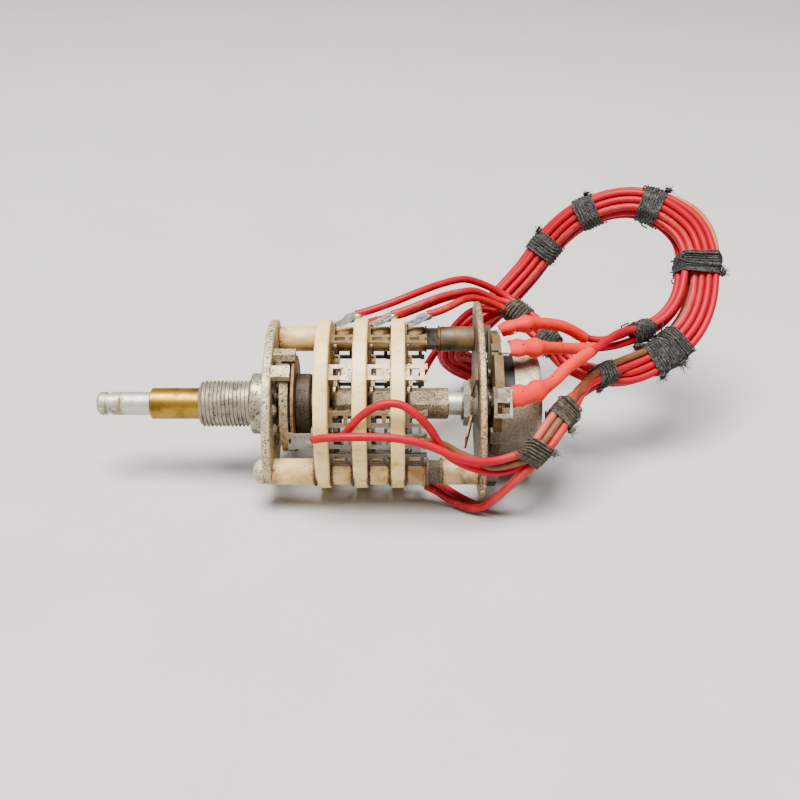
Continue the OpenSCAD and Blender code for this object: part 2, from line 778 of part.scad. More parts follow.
// Washer with a ring of outer teeth that bite the plate
module lock_washer() {
    tooth_cut = 1;
    color("dimgray") rolled() difference() {
        turned(rear_plate_back_x, lock_washer_t, lock_washer_r, pot_thread_r + seat_gap);
        for (i = [0 : lock_teeth - 1]) at_polar(i * 360 / lock_teeth, lock_washer_r)
            turned(rear_plate_back_x - cut_past, lock_washer_t + 2 * cut_past, tooth_cut);
    }
}

// Phenolic base with the fan that carries the terminals and notches for the can's tabs
module pot_base() {
    fan_r = terminal_r - terminal_t - seat_gap;
    fan_half = terminal_step + fan_margin;
    color("burlywood") rolled() difference() {
        union() {
            turned(base_x, base_t, base_r);
            intersection() {
                turned(base_x, base_t, fan_r);
                rotate([fan_angle, 0, 0]) translate([base_x, 0, 0]) across_x(0, base_t)
                    polygon([[0, 0], [2 * fan_r * cos(fan_half), -2 * fan_r * sin(fan_half)],
                        [2 * fan_r, 0], [2 * fan_r * cos(fan_half), 2 * fan_r * sin(fan_half)]]);
            }
        }
        turned(base_x - cut_past, base_t + 2 * cut_past, inner_r + 2 * running_fit);
        for (angle = terminal_angles) at_polar(angle, pot_rivet_at_r)
            turned(base_x - cut_past, base_t + 2 * cut_past, pot_rivet_r + seat_gap);
        for (angle = crimp_angles) at_polar(angle, can_in_r - crimp_gap)
            translate([base_x - cut_past, 0, -crimp_w / 2 - crimp_gap])
                cube([base_t + 2 * cut_past, 2 * can_wall + 2 * crimp_gap, crimp_w + 2 * crimp_gap]);
    }
}

module pot_track() {
    color("black") rolled() difference() {
        rotate([fan_angle + 180 - track_span / 2 + 180, 0, 0]) along_x(base_back_x) rotate([0, 0, 90])
            rotate_extrude(angle = track_span)
                translate([track_in_r, 0]) square([track_w, track_t]);
        for (angle = terminal_angles) at_polar(angle, pot_rivet_at_r)
            turned(base_back_x - cut_past, track_t + 2 * cut_past, pot_rivet_r + seat_gap);
    }
}

// Terminal strips: a foot on the base, and a tongue that turns to the rear in a narrow neck over the fan's edge
module pot_terminals() {
    foot_in_r = pot_rivet_at_r - pot_rivet_head_r - swing_gap;
    neck_r = terminal_r - terminal_t;
    neck_len = terminal_t + base_t / 2;
    color("darkkhaki") rolled() for (angle = terminal_angles) rotate([angle, 0, 0]) difference() {
        union() {
            translate([base_x - terminal_t, foot_in_r, -terminal_foot_w / 2])
                cube([terminal_t, neck_r - foot_in_r, terminal_foot_w]);
            translate([base_x - terminal_t, neck_r - terminal_t, -terminal_neck_w / 2])
                cube([terminal_t, 2 * terminal_t, terminal_neck_w]);
            translate([base_x - terminal_t, neck_r, -terminal_neck_w / 2])
                cube([neck_len + terminal_t, terminal_t, terminal_neck_w]);
            translate([base_x - terminal_t + neck_len, neck_r, -terminal_w / 2])
                cube([terminal_len - neck_len, terminal_t, terminal_w]);
        }
        translate([0, pot_rivet_at_r, 0]) turned(base_x - cut_past, 2 * cut_past, pot_rivet_r + seat_gap);
    }
}

module pot_rivets() {
    x0 = base_x - terminal_t - pot_rivet_head_t;
    x1 = base_back_x + track_t;
    color("gray") rolled() for (angle = terminal_angles) at_polar(angle, pot_rivet_at_r) {
        turned(x0, pot_rivet_head_t, pot_rivet_head_r);
        turned(x0, x1 - x0 + pot_rivet_head_t, pot_rivet_r);
        turned(x1, pot_rivet_head_t, pot_rivet_head_r);
    }
}

module pot_liner() {
    color("black") turned(base_back_x, can_depth - can_round, liner_r, liner_r - liner_t);
}

// Drawn metal can, open to the base, with a window over the terminals and tabs crimped over the base
module pot_can() {
    color("gray") rolled() {
        difference() {
            can_shell();
            rotate([fan_angle - can_window_span / 2, 0, 0]) along_x(base_back_x - cut_past)
                rotate([0, 0, 90]) rotate_extrude(angle = can_window_span)
                    translate([can_r - 2 * can_wall, 0]) square([4 * can_wall, can_window_len + cut_past]);
        }
        for (angle = crimp_angles) rotate([angle, 0, 0]) crimp_tab();
    }
}

module can_shell() {
    inner_round = can_round - can_wall;
    difference() {
        domed_drum(base_back_x, can_depth, can_r, can_round);
        domed_drum(base_back_x - cut_past, can_depth - can_wall + cut_past,
            can_in_r, inner_round);
    }
}

// Drum whose rear rim is rounded
module domed_drum(x, len, r, round_r) {
    turned(x, len - round_r, r);
    turned(x, len, r - round_r);
    along_x(x + len - round_r) rotate_extrude() translate([r - round_r, 0]) circle(round_r);
}

module crimp_tab() {
    x0 = base_x - can_wall;
    intersection() {
        turned(x0, base_back_x - x0 + can_round, can_r, can_in_r - crimp_fold);
        union() {
            translate([x0, can_in_r - crimp_fold, -crimp_w / 2])
                cube([can_wall, 2 * crimp_fold, crimp_w]);
            translate([x0, can_in_r, -crimp_w / 2])
                cube([base_back_x - x0 + can_round, 2 * can_wall, crimp_w]);
        }
    }
}

module wiper_hub() {
    color("saddlebrown") turned(hub_x, hub_len, hub_r, inner_r + seat_gap, edge_break);
}

// Spring wiper that bears on the track, fixed to the face of the hub
module wiper_contact() {
    wiper_angle = fan_angle + 180;
    x = base_back_x + track_t + contact_gap;
    color("goldenrod") rolled() difference() {
        rotate([wiper_angle, 0, 0]) translate([x, 0, -contact_w / 2]) {
            translate([hub_x - x - contact_t, 0, 0]) cube([contact_t, contact_r, contact_w]);
            translate([0, contact_r - contact_t, 0]) cube([hub_x - x, contact_t, contact_w]);
        }
        turned(x - cut_past, hub_x - x + 2 * cut_past, inner_r + seat_gap);
    }
}

function unit(v) = v / norm(v);
function along(p, i) = unit(p[min(i + 1, len(p) - 1)] - p[max(i - 1, 0)]);
function carried(n, t) = unit(n - (n * t) * t);
function first_side(p) = cross(along(p, 0), [0.3, -0.5, 0.8]);
function sides_of(p, n, i = 0) =
    i == len(p) ? [] : let (m = carried(n, along(p, i))) concat([m], sides_of(p, m, i + 1));
function ring(c, t, n, r, count) =
    let (b = cross(t, n), step = 360 / count)
        [for (k = [0 : count - 1]) c + r * (cos(k * step) * n + sin(k * step) * b)];

// Round cord swept along its route, with one radius for each place
module cord(route, radii, count) {
    n = sides_of(route, first_side(route));
    last = len(route) - 1;
    points = [for (i = [0 : last]) each ring(route[i], along(route, i), n[i], radii[i], count)];
    walls = [for (i = [0 : last - 1]) for (k = [0 : count - 1])
        let (a = i * count + k, b = i * count + (k + 1) % count)
        each [[a, a + count, b], [b, a + count, b + count]]];
    caps = [for (k = [1 : count - 2]) each
        [[0, k, k + 1], [last * count, last * count + k + 1, last * count + k]]];
    polyhedron(points, concat(walls, caps));
}

// Wire or bundle of one radius
module even_cord(route, r, count) {
    cord(route, [for (p = route) r], count);
}

module pot_sleeves() {
    color("tomato") for (route = sleeve_routes) cord(route, sleeve_radii, wire_sides);
}

module pot_leads() {
    color("red") for (route = pot_lead_routes) even_cord(route, wire_r, wire_sides);
}

module top_leads() {
    color("red") for (route = top_lead_routes) even_cord(route, wire_r, wire_sides);
}

module front_leads() {
    color("red") for (route = front_lead_routes) even_cord(route, wire_r, wire_sides);
}

module pot_branch() {
    color("red") even_cord(pot_branch_route, pot_branch_r, bundle_sides);
}

module top_branch() {
    color("red") even_cord(top_branch_route, top_branch_r, bundle_sides);
}

module front_branch() {
    color("red") even_cord(front_branch_route, front_branch_r, bundle_sides);
}

module harness_trunk() {
    color("red") even_cord(trunk_route, trunk_r, bundle_sides);
}

// Cord wound around a bundle at one place of its route
module tie(route, r, i) {
    t = along(route, i);
    turn = acos(t[2]);
    heading = atan2(t[1], t[0]);
    translate(route[i]) rotate([0, turn, heading]) translate([0, 0, -tie_w / 2]) difference() {
        cylinder(h = tie_w, r = r + tie_t);
        translate([0, 0, -cut_past]) cylinder(h = tie_w + 2 * cut_past, r = r);
    }
}

module lacing_ties() {
    color("black") for (bundle = bundles) for (i = bundle[2]) tie(bundle[0], bundle[1], i);
}

front_plate();
bushing();
through_bolts();
front_spacers();
wafer_spacers();
short_spacers();
fibre_washers();
steel_washers();
clamp_nuts();
rear_spacers();
rear_nuts();
rear_plate();
wafer_1();
wafer_2();
wafer_3();
clips_1();
clips_2();
clips_3();
clip_rivets_1();
clip_rivets_2();
clip_rivets_3();
outer_shaft();
ball_carrier();
index_balls();
index_spring();
thrust_collar();
drive_tube();
rotor_1();
rotor_2();
rotor_3();
rotor_blade_1();
rotor_blade_2();
rotor_blade_3();
inner_shaft();
pot_bushing();
pot_nut();
leaf_spring();
pot_washer();
lock_washer();
pot_base();
pot_track();
pot_terminals();
pot_rivets();
pot_liner();
pot_can();
wiper_hub();
wiper_contact();
pot_sleeves();
pot_leads();
top_leads();
front_leads();
pot_branch();
top_branch();
front_branch();
harness_trunk();
lacing_ties();
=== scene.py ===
import math
import random

import bmesh
import bpy
from mathutils import Matrix, Vector, geometry, noise


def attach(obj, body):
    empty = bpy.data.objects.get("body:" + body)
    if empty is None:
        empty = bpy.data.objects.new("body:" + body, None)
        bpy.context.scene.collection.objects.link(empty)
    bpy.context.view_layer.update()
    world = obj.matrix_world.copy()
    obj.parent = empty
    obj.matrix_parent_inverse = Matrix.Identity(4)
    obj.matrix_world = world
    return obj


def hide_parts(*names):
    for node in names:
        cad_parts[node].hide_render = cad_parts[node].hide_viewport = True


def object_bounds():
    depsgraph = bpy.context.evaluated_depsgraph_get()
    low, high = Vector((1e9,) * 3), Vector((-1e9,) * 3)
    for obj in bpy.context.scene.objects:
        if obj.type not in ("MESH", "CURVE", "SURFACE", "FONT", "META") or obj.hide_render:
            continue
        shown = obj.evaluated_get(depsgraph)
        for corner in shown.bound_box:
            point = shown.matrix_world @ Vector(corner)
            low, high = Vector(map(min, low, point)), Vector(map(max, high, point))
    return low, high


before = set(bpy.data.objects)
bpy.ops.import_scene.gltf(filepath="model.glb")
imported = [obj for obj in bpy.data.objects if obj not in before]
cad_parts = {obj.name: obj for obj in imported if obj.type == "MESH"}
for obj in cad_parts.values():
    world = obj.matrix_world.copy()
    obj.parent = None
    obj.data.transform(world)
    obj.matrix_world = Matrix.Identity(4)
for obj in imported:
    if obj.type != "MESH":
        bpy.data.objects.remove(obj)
cad_low, cad_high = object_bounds()

# Camera: a close view from the side, thirty degrees above the shafts, so that the near
# wafers and wires look larger than the far ones.
MM = 0.001
view_rise = math.radians(30)
view_target = Vector((30.05, 0, 0)) * MM
view_back = Vector((0, -math.cos(view_rise), math.sin(view_rise)))
view_distance = 215 * MM
picture_side = 800
axis_drop = 3.4
focal_length = 47.43
lens = bpy.data.cameras.new("camera")
lens.lens = focal_length
lens.shift_y = axis_drop / picture_side
lens.clip_start = 10 * MM


def linked(name, data):
    """A new object in the scene."""
    made = bpy.data.objects.new(name, data)
    bpy.context.scene.collection.objects.link(made)
    return made


camera = linked("camera", lens)
camera.location = view_target + view_distance * view_back
camera.rotation_euler = (math.radians(90) - view_rise, 0, 0)
bpy.context.scene.camera = camera


# Floor and light: a pale matt table under two large soft lamps, one overhead and one low
# at the side, in an evenly lit room.
class Socket:
    """One output of a shader node. Sums and products of sockets add their Math nodes."""

    def __init__(self, tree, output=None):
        self.tree = tree
        self.output = output

    def node(self, kind, settings, inputs, output=0):
        made = self.tree.nodes.new(kind)
        for name, value in settings.items():
            if name == "stops":
                band = made.color_ramp.elements
                while len(band) < len(value):
                    band.new(1)
                for stop, (place, colour) in zip(band, value):
                    stop.position = place
                    stop.color = (*shade(*colour), 1)
            else:
                setattr(made, name, value)
        for name, value in inputs.items():
            if isinstance(value, Socket):
                self.tree.links.new(value.output, made.inputs[name])
            elif isinstance(value, tuple) and len(value) == 3 and made.inputs[name].type == "RGBA":
                made.inputs[name].default_value = (*value, 1)
            else:
                made.inputs[name].default_value = value
        return Socket(self.tree, made.outputs[output])

    def math(self, operation, first, second):
        return self.node("ShaderNodeMath", {"operation": operation}, {0: first, 1: second})

    def __add__(self, other):
        return self.math("ADD", self, other)

    def __sub__(self, other):
        return self.math("SUBTRACT", self, other)

    def __rsub__(self, other):
        return self.math("SUBTRACT", other, self)

    def __mul__(self, other):
        return self.math("MULTIPLY", self, other)

    def __pow__(self, other):
        return self.math("POWER", self, other)

    __radd__ = __add__
    __rmul__ = __mul__

    def grain(self, scale, detail=3.0, rough=0.55):
        """Cloudy noise from 0 to 1 over the place that this socket gives."""
        values = {"Vector": self, "Scale": scale, "Detail": detail, "Roughness": rough}
        return self.node("ShaderNodeTexNoise", {}, values)

    def specks(self, scale):
        """Distance to the nearest of many scattered dots."""
        return self.node("ShaderNodeTexVoronoi", {}, {"Vector": self, "Scale": scale})

    def dots(self, scale, size, patches, ends):
        """Scattered dots with a soft rim, in patches."""
        return self.specks(scale).between(*size) * self.grain(patches).between(*ends)

    def stretched(self, x, y, z):
        return self.node("ShaderNodeMapping", {}, {"Vector": self, "Scale": (x, y, z)})

    def part(self, axis):
        return self.node("ShaderNodeSeparateXYZ", {}, {"Vector": self}, "XYZ".index(axis))

    def between(self, low, high):
        """0 below low and 1 above high, with a soft step."""
        values = {"Value": self, "From Min": low, "From Max": high}
        return self.node("ShaderNodeMapRange", {"interpolation_type": "SMOOTHSTEP"}, values)

    def blend(self, first, second):
        """From the first colour, at 0, to the second, at 1. A plain colour is as a screen shows it."""
        first, second = (tone if isinstance(tone, Socket) else shade(*tone) for tone in (first, second))
        return self.node("ShaderNodeMix", {"data_type": "RGBA"}, {0: self, 6: first, 7: second}, 2)

    def near(self, spot, reach):
        """1 at a spot along an axis, and 0 from reach away."""
        return self.math("ABSOLUTE", self - spot, 0).between(reach, 0)

    def bumps(self, strength, depth):
        """A normal for this height, with its depth in millimetres."""
        return self.node("ShaderNodeBump", {}, {"Height": self, "Strength": strength, "Distance": depth * MM})


def shade(red, green, blue):
    """A colour as a screen shows it, from 0 to 255, as the light that it sends back."""
    return tuple(((c / 255 + 0.055) / 1.055) ** 2.4 if c > 10 else c / 255 / 12.92 for c in (red, green, blue))


def new_finish(name):
    """An empty material, and the place on the object as a socket."""
    material = bpy.data.materials.new(name)
    material.use_nodes = True
    material.node_tree.nodes.clear()
    place = Socket(material.node_tree).node("ShaderNodeTexCoord", {}, {}, "Object")
    return material, place


def surface(material, **inputs):
    """Closes a material with one Principled surface."""
    tree = material.node_tree
    values = {name.replace("_", " "): value for name, value in inputs.items()}
    skin = Socket(tree).node("ShaderNodeBsdfPrincipled", {}, values)
    end = tree.nodes.new("ShaderNodeOutputMaterial")
    tree.links.new(skin.output, end.inputs["Surface"])
    return material


def new_piece(name, form):
    """The object that a finished bmesh makes."""
    mesh = bpy.data.meshes.new(name)
    form.to_mesh(mesh)
    form.free()
    return linked(name, mesh)


floor_half = 4.0
floor_form = bmesh.new()
bmesh.ops.create_grid(floor_form, x_segments=1, y_segments=1, size=floor_half)
bmesh.ops.translate(floor_form, verts=floor_form.verts, vec=(0, 0, cad_low.z))
floor = new_piece("floor", floor_form)
floor_finish, place = new_finish("floor_paper")
floor_tone = place.grain(40, 4.0).blend((186, 185, 183), (196, 195, 193))
floor.data.materials.append(surface(floor_finish, Base_Color=floor_tone, Roughness=0.85))


def soft_lamp(name, spot, aim, size, power, colour):
    """A square soft lamp at a spot, turned to its aim."""
    data = bpy.data.lights.new(name, "AREA")
    data.size = size
    data.energy = power
    data.color = colour
    lamp = linked(name, data)
    lamp.location = spot
    lamp.rotation_euler = (Vector(aim) - Vector(spot)).to_track_quat("-Z", "Y").to_euler()


soft_lamp("overhead_lamp", (-0.1, -0.2, 1.2), (0.04, 0, 0), 0.75, 57, (1, 0.98, 0.95))
soft_lamp("side_lamp", (-0.45, -0.6, 0.4), (0.04, 0, 0), 0.4, 1.0, (1, 0.97, 0.93))
room = bpy.data.worlds.new("room")
room.use_nodes = True
sky = room.node_tree.nodes["Background"].inputs
sky["Color"].default_value = (0.9, 0.95, 1, 1)
sky["Strength"].default_value = 0.12
bpy.context.scene.world = room


# Hook-up wires: stranded leads in red plastic, soldered to the lugs, gathered in three
# branches and laced into one stiff trunk that loops over behind the switch. The routes
# keep close to those of the solids, in millimetres.
wire_d = 1.6 * MM
trunk_route = [
    (70, 5, 4), (77, 8, 4), (83, 11, 5), (87, 13, 7), (91.5, 17, 10), (94.2, 22, 14), (95, 27, 18.8),
    (94.1, 32, 23.4), (91.4, 35, 26.2), (85.7, 38, 29), (79, 40, 29), (72.2, 41, 26.3), (67.2, 41, 22.6),
    (63, 40, 18), (60, 38, 14), (56, 36, 10), (52, 33.5, 6.5), (48, 30.5, 4), (44.5, 29, 1.5), (42, 29.3, -2),
    (42, 31.3, -5.5), (44.5, 33.3, -8.5), (48.5, 34, -10.6), (52.5, 33.6, -12), (56.5, 32.3, -13), (61, 30, -14),
]
branch_routes = {
    "top": [(54, 23, 11), (58, 19, 9), (62, 15, 7), (66, 10, 5), (70, 5, 4)],
    "front": [(55, -16, -4), (58, -14, 0), (62, -9, 3), (66, -3, 4), (70, 5, 4)],
    "pot": [(80, 13, 10), (85, 15, 11), (88.7, 18, 14), (91.3, 22, 17), (94.1, 27, 18.8)],
}
lead_routes = {"top": [
    [(20.9, 10.7, 14.95), (23.5, 11.2, 15.5), (27, 12, 16.4), (30.4, 13.2, 17.3), (33.8, 15, 18), (37, 17.3, 18.3),
     (40, 20, 18.1), (43.5, 22.3, 17.9), (46.5, 23.7, 16.6), (50.5, 24.5, 14.5), (54, 24, 12.5)],
    [(18.5, 15, 5), (21, 17.3, 8.6), (24, 17, 10.4), (27.5, 16.6, 11.3), (31, 16.5, 12.4), (34.6, 17, 13.7),
     (39, 19.5, 14.4), (43.4, 23, 14), (46.5, 25, 13), (50.5, 25.5, 11.6), (54, 24.5, 10.5)],
    [(28.25, 10.7, 14.95), (31, 11.2, 15.6), (34.6, 12.4, 16.6), (39, 15, 17.2), (43.4, 18.5, 16.6),
     (46.5, 21.2, 15.6), (50.5, 22.3, 13), (54, 22, 12.5)],
    [(35.6, 10.7, 14.95), (38, 11.3, 15.3), (41, 13.2, 15.9), (43.5, 16.2, 15.9), (46.2, 19.2, 14.8),
     (50.5, 20.6, 12.6), (54, 20.5, 11)],
    [(33.5, 15, 5), (37, 17.5, 5.5), (41, 19.5, 4.5), (43.5, 21.2, 4.7), (46.2, 23.5, 6), (50.5, 22.3, 9.6),
     (54, 22.5, 10.5)],
    [(33.5, 15, -5), (36, 19, -1), (39, 21.5, 2.5), (42, 23.5, 6), (46, 25, 9.5), (50.5, 24.5, 9.5),
     (54, 23, 8.5)],
], "front": [
    [(12.4, -16.4, 1.3), (14, -17.9, 2.5), (16.5, -18.9, 3.5), (21, -19.5, 4), (26, -19.5, 4), (31, -19.5, 3.5),
     (36, -19.5, 2), (41, -20, -0.5), (47, -18.6, -2.2), (51.5, -17.2, -1.7), (55, -16, -1.4)],
    [(18.7, -16, 2), (19.9, -17.2, 3.4), (21.5, -17.5, 6), (24, -17.5, 8.5), (27, -17.5, 10), (30, -17.5, 10),
     (32.5, -18, 8.5), (35, -18, 6), (37, -18, 2.5), (39, -18, -1), (43, -18, -3.5), (48, -17.3, -5.5),
     (52, -16.4, -5.2), (55, -15.4, -3.9)],
    [(33.5, -16, 0.3), (36, -16.4, 1.2), (39, -16.2, -0.1), (41, -16.3, -1.5), (43, -16.2, -2.5),
     (46, -17.3, -3.4), (48, -17.7, -3.9), (52, -16.9, -3.6), (55, -16.2, -2.8)],
    [(33.5, -9.5, -13), (37, -10.5, -14), (40, -12, -15.5), (43.5, -14, -16), (46.5, -15.5, -15),
     (50, -16.8, -10.5), (53, -16.9, -6.9), (55, -16.7, -4.9)],
    [(33.5, 0, -16), (37, -4, -16), (41, -9, -16), (44, -12, -16), (46.5, -13.5, -16), (50, -14.8, -12),
     (53, -15, -8), (55, -15, -5.4)],
], "pot": [
    [(64, 11, 12), (69, 12.5, 8.5), (73, 13.5, 7.5), (77, 14, 8.5), (80, 14, 10.5)],
    [(65, 4, 10.5), (70, 6, 9.5), (74, 8, 9), (77, 10.5, 8.5), (80, 12.5, 8.5)],
    [(63, -4, 10.5), (68, 0, 12), (71, 3.5, 12), (74, 7.5, 12), (77, 10.5, 11.5), (80, 12, 11)],
]}
per_span = 4


def flowing(route, steps=per_span):
    """Places along the smooth curve through a route in millimetres, as vectors in metres."""
    spots = [Vector(spot) * MM for spot in route]
    line = []
    for i in range(len(spots) - 1):
        before, start, end = spots[max(i - 1, 0)], spots[i], spots[i + 1]
        after = spots[min(i + 2, len(spots) - 1)]
        leave, arrive = start + (end - before) / 6, end - (after - start) / 6
        line += geometry.interpolate_bezier(start, leave, arrive, end, steps + 1)[:-1]
    return line + [spots[-1]]


class Bundle:
    """A laced bundle: its middle line, and at each place its heading, the side towards
    the inside of its loop and the depth behind that."""

    def __init__(self, route):
        self.line = flowing(route)
        self.headings, self.sides, self.depths = [], [], []
        last = len(self.line) - 1
        for i in range(last + 1):
            heading = (self.line[min(i + 1, last)] - self.line[max(i - 1, 0)]).normalized()
            side = heading.cross(-view_back).normalized()
            self.headings.append(heading)
            self.sides.append(side)
            self.depths.append(side.cross(heading))

    def lay(self, i, column, row):
        """Where a wire that keeps this place in the bundle passes station i."""
        return self.line[i] + column * wire_d * self.sides[i] + row * row_gap * self.depths[i]


def eased(share):
    share = min(max(share, 0), 1)
    return share * share * (3 - 2 * share)


# The wires of a branch lie close together. Fourteen lie flat in three rows up the right side
# of the trunk, and draw together into four rows down its left side. Each place is counted in
# wires across and rows deep. The brown wire dives under its neighbour at the second tie, and
# one wire strays out of the loop at its upper right. The slight wander of all has a fixed seed.
row_gap = wire_d * math.sqrt(3) / 2
branch_places = {
    "top": [(1, -0.5), (0.5, 0.5), (0, -0.5), (-1, -0.5), (-0.5, 0.5), (0, 1.5)],
    "front": [(1, -0.5), (0.5, 0.5), (0, -0.5), (-1, -0.5), (-0.5, 0.5)],
    "pot": [(0.5, 0.5), (-0.5, 0.5), (0, -0.5)],
}
flat_places = {
    "top": [(-1, -1), (-2, -1), (-1.5, 0), (-2, 1), (-1, 1), (0, 1)],
    "front": [(0, -1), (-0.5, 0), (1, 1), (0.5, 0), (1, -1)],
    "pot": [(2, 1), (1.5, 0), (2, -1)],
}
early_places = {("front", 2): (1, -1), ("front", 4): (1, 1)}
round_places = {
    "top": [(-1, -1.5), (-1.5, -0.5), (-1, 0.5), (-1.5, 1.5), (-0.5, 1.5), (0, 0.5)],
    "front": [(0, -1.5), (-0.5, -0.5), (0.5, 1.5), (0.5, -0.5), (1, -1.5)],
    "pot": [(1.5, 1.5), (1, 0.5), (1.5, -0.5)],
}
dives_from, dives_to = 2.35, 3.15
strays = {("top", 3): 1.2}
strays_near, strays_reach, strays_flat = 7.4, 1.9, 1.6
rounds_from, rounds_to = 7, 10
trunk = Bundle(trunk_route)
branches = {name: Bundle(route) for name, route in branch_routes.items()}
branch_parts = {"top": 7, "front": 8, "pot": 9}
branch_ends = {"top": 14, "front": 14, "pot": 17}
trunk_starts = {"top": 2, "front": 2, "pot": 26}
settling = {"top": 4, "front": 4, "pot": 8}
gathers_in = {"top": 4, "front": 2.6, "pot": 4}
wander, wander_seed = 0.13, 5
noise.seed_set(wander_seed)
stripped = {("front", 0): 3, ("front", 1): 1, ("top", 0): 0, ("top", 2): 0, ("top", 3): 0}


def between(first, second, share):
    return [a + eased(share) * (b - a) for a, b in zip(first, second)]


def wire_line(group, number):
    """One wire from its lug, along its branch and round the trunk to its cut end."""
    line = flowing(lead_routes[group][number])
    branch = branches[group]
    offset = line[-1] - branch.line[0]
    start = (offset.dot(branch.sides[0]) / wire_d, offset.dot(branch.depths[0]) / row_gap)
    flat, drawn = flat_places[group][number], round_places[group][number]
    early = early_places.get((group, number), flat)
    parts, last = branch_parts[group], branch_ends[group]
    for i in range(1, last):
        held = between(start, branch_places[group][number], i / gathers_in[group])
        line.append(branch.lay(i, *between(held, early, (i - parts) / (last - parts))))
    seed = 10 * len(line) + number
    for i in range(trunk_starts[group], len(trunk.line) - number % 3):
        at = i / per_span
        drift = noise.noise_vector((i * 0.11, seed, 0.5)) * wander
        place = between(early, flat, (at - dives_from) / (dives_to - dives_from))
        column, row = between(place, drawn, (at - rounds_from) / (rounds_to - rounds_from))
        nearness = 1 - abs(at - strays_near) / strays_reach
        column -= strays.get((group, number), 0) * eased(strays_flat * nearness)
        line.append(trunk.lay(i, column + drift.x, row + drift.y))
    for _ in range(settling[group]):
        middles = [(a + 2 * b + c) / 4 for a, b, c in zip(line, line[1:], line[2:])]
        line = [line[0]] + middles + [line[-1]]
    return line[stripped.get((group, number), 2):]


def line_length(line):
    return sum((b - a).length for a, b in zip(line, line[1:]))


def tubes(name, lines, radius, sides=12, caps=True):
    """Round tubes along lines, as one curve with an open spline for each."""
    curve = bpy.data.curves.new(name, "CURVE")
    curve.dimensions = "3D"
    curve.bevel_depth = radius
    curve.bevel_resolution = sides // 2 - 2
    curve.use_fill_caps = caps
    for line in lines:
        spline = curve.splines.new("POLY")
        spline.points.add(len(line) - 1)
        for point, spot in zip(spline.points, line):
            point.co = (*spot, 1)
        spline.use_smooth = True
    return linked(name, curve)


def layered(tone, *layers):
    """A colour under layers. Each is a mask, the share of it that shows and its colour."""
    for mask, share, colour in layers:
        tone = (mask * share).blend(tone, colour)
    return tone


def wire_finish(name, fresh, faded, dust, worn=None, worn_tone=(188, 96, 74)):
    """Soft plastic, paler where it has faded or rubbed, and dull where dust and flux have stuck."""
    material, place = new_finish(name)
    fade = place.grain(90).between(0.42, 0.75)
    dirt = place.grain(640, 4.0, 0.75).between(0.5, 0.74) * dust
    flecks = place.dots(1500, (0.12, 0.05), 300, (0.46, 0.6))
    tone = layered(fade.blend(fresh, faded), (dirt, 1, (150, 104, 84)), (flecks, 0.6, (70, 24, 20)))
    if worn:
        patches = worn(place) * place.grain(160).between(0.28, 0.5)
        tone = layered(tone, (patches, 0.8, worn_tone))
    rough = 0.41 + 0.3 * dirt + 0.1 * fade
    dents = place.grain(700, 2.0).bumps(0.25, 0.05)
    return surface(material, Base_Color=tone, Roughness=rough, Normal=dents, Specular_IOR_Level=0.18)


def by_front_ties(place):
    return place.part("X").near(58 * MM, 11 * MM) * place.part("Y").between(12 * MM, 5 * MM)


def by_loop_top(place):
    return place.part("X").between(82 * MM, 85 * MM) * place.part("Z").between(17 * MM, 19 * MM)


red_wire = wire_finish("wire_red", (162, 0, 24), (178, 2, 38), 0.05)
dusty_wire = wire_finish("wire_dusty", (166, 18, 32), (184, 58, 60), 0.65)
brown_wire = wire_finish("wire_brown", (104, 60, 38), (128, 88, 60), 0.5)
worn_wire = wire_finish("wire_worn", (162, 0, 24), (178, 2, 38), 0.1, by_front_ties)
tan_wire = wire_finish("wire_tan", (168, 8, 18), (182, 46, 44), 0.5, by_loop_top, (188, 118, 66))
wire_looks = {
    ("top", 2): dusty_wire, ("top", 3): tan_wire,
    ("front", 0): worn_wire, ("front", 2): brown_wire, ("front", 3): dusty_wire, ("front", 4): dusty_wire,
}
wires = {}
for group, routes in lead_routes.items():
    for number in range(len(routes)):
        line = wire_line(group, number)
        wire = tubes(f"wire_{group}_{number + 1}", [line], wire_d / 2)
        wire.data.materials.append(wire_looks.get((group, number), red_wire))
        wires[group, number] = (wire, line)
        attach(wire, "frame")
        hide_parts(f"{group}_leads", f"{group}_branch", "harness_trunk")


# Terminal sleeves: three lengths of coral-red plastic sleeving, drawn over the soldered
# terminals of the potentiometer. Each is pressed flat and lumpy on its terminal and
# narrows to a round open end where its wire comes out.
sleeve_routes = [
    [(50.5, 7, 13), (54, 7.5, 14), (59, 9.5, 13.5), (64, 11, 12), (69, 12.5, 8.5)],
    [(51.3, -3, 14.2), (54.6, -2.5, 14), (59.4, 0.4, 12.5), (64.5, 3.6, 10.7), (70, 6, 9.5)],
    [(51.2, -11.9, 8.5), (54.6, -11.3, 8.6), (59.2, -7.8, 9), (63, -4, 10.5), (68, 0, 12)],
]
sleeve_radii = ((0, 1.9), (1.6, 2.2), (3.5, 1.75), (5.4, 2.2), (7.6, 1.5), (9.4, 1.24), (40, 1.16))
sleeve_wall = 0.25 * MM
pressed_to = 9.4 * MM
pressed_share = 0.66
lump_height, lump_scale = 0.07 * MM, 700


def from_table(table, at):
    """The eased value between two rows of a table."""
    for (low, first), (high, second) in zip(table, table[1:]):
        if at <= high:
            return first + (second - first) * eased((at - low) / (high - low))
    return table[-1][1]


def as_mesh(curve_piece):
    """A curve's tube as a mesh object of the same name."""
    name = curve_piece.name
    drawn = curve_piece.evaluated_get(bpy.context.evaluated_depsgraph_get())
    mesh = bpy.data.meshes.new_from_object(drawn)
    bpy.data.objects.remove(curve_piece)
    mesh.name = name
    return linked(name, mesh)


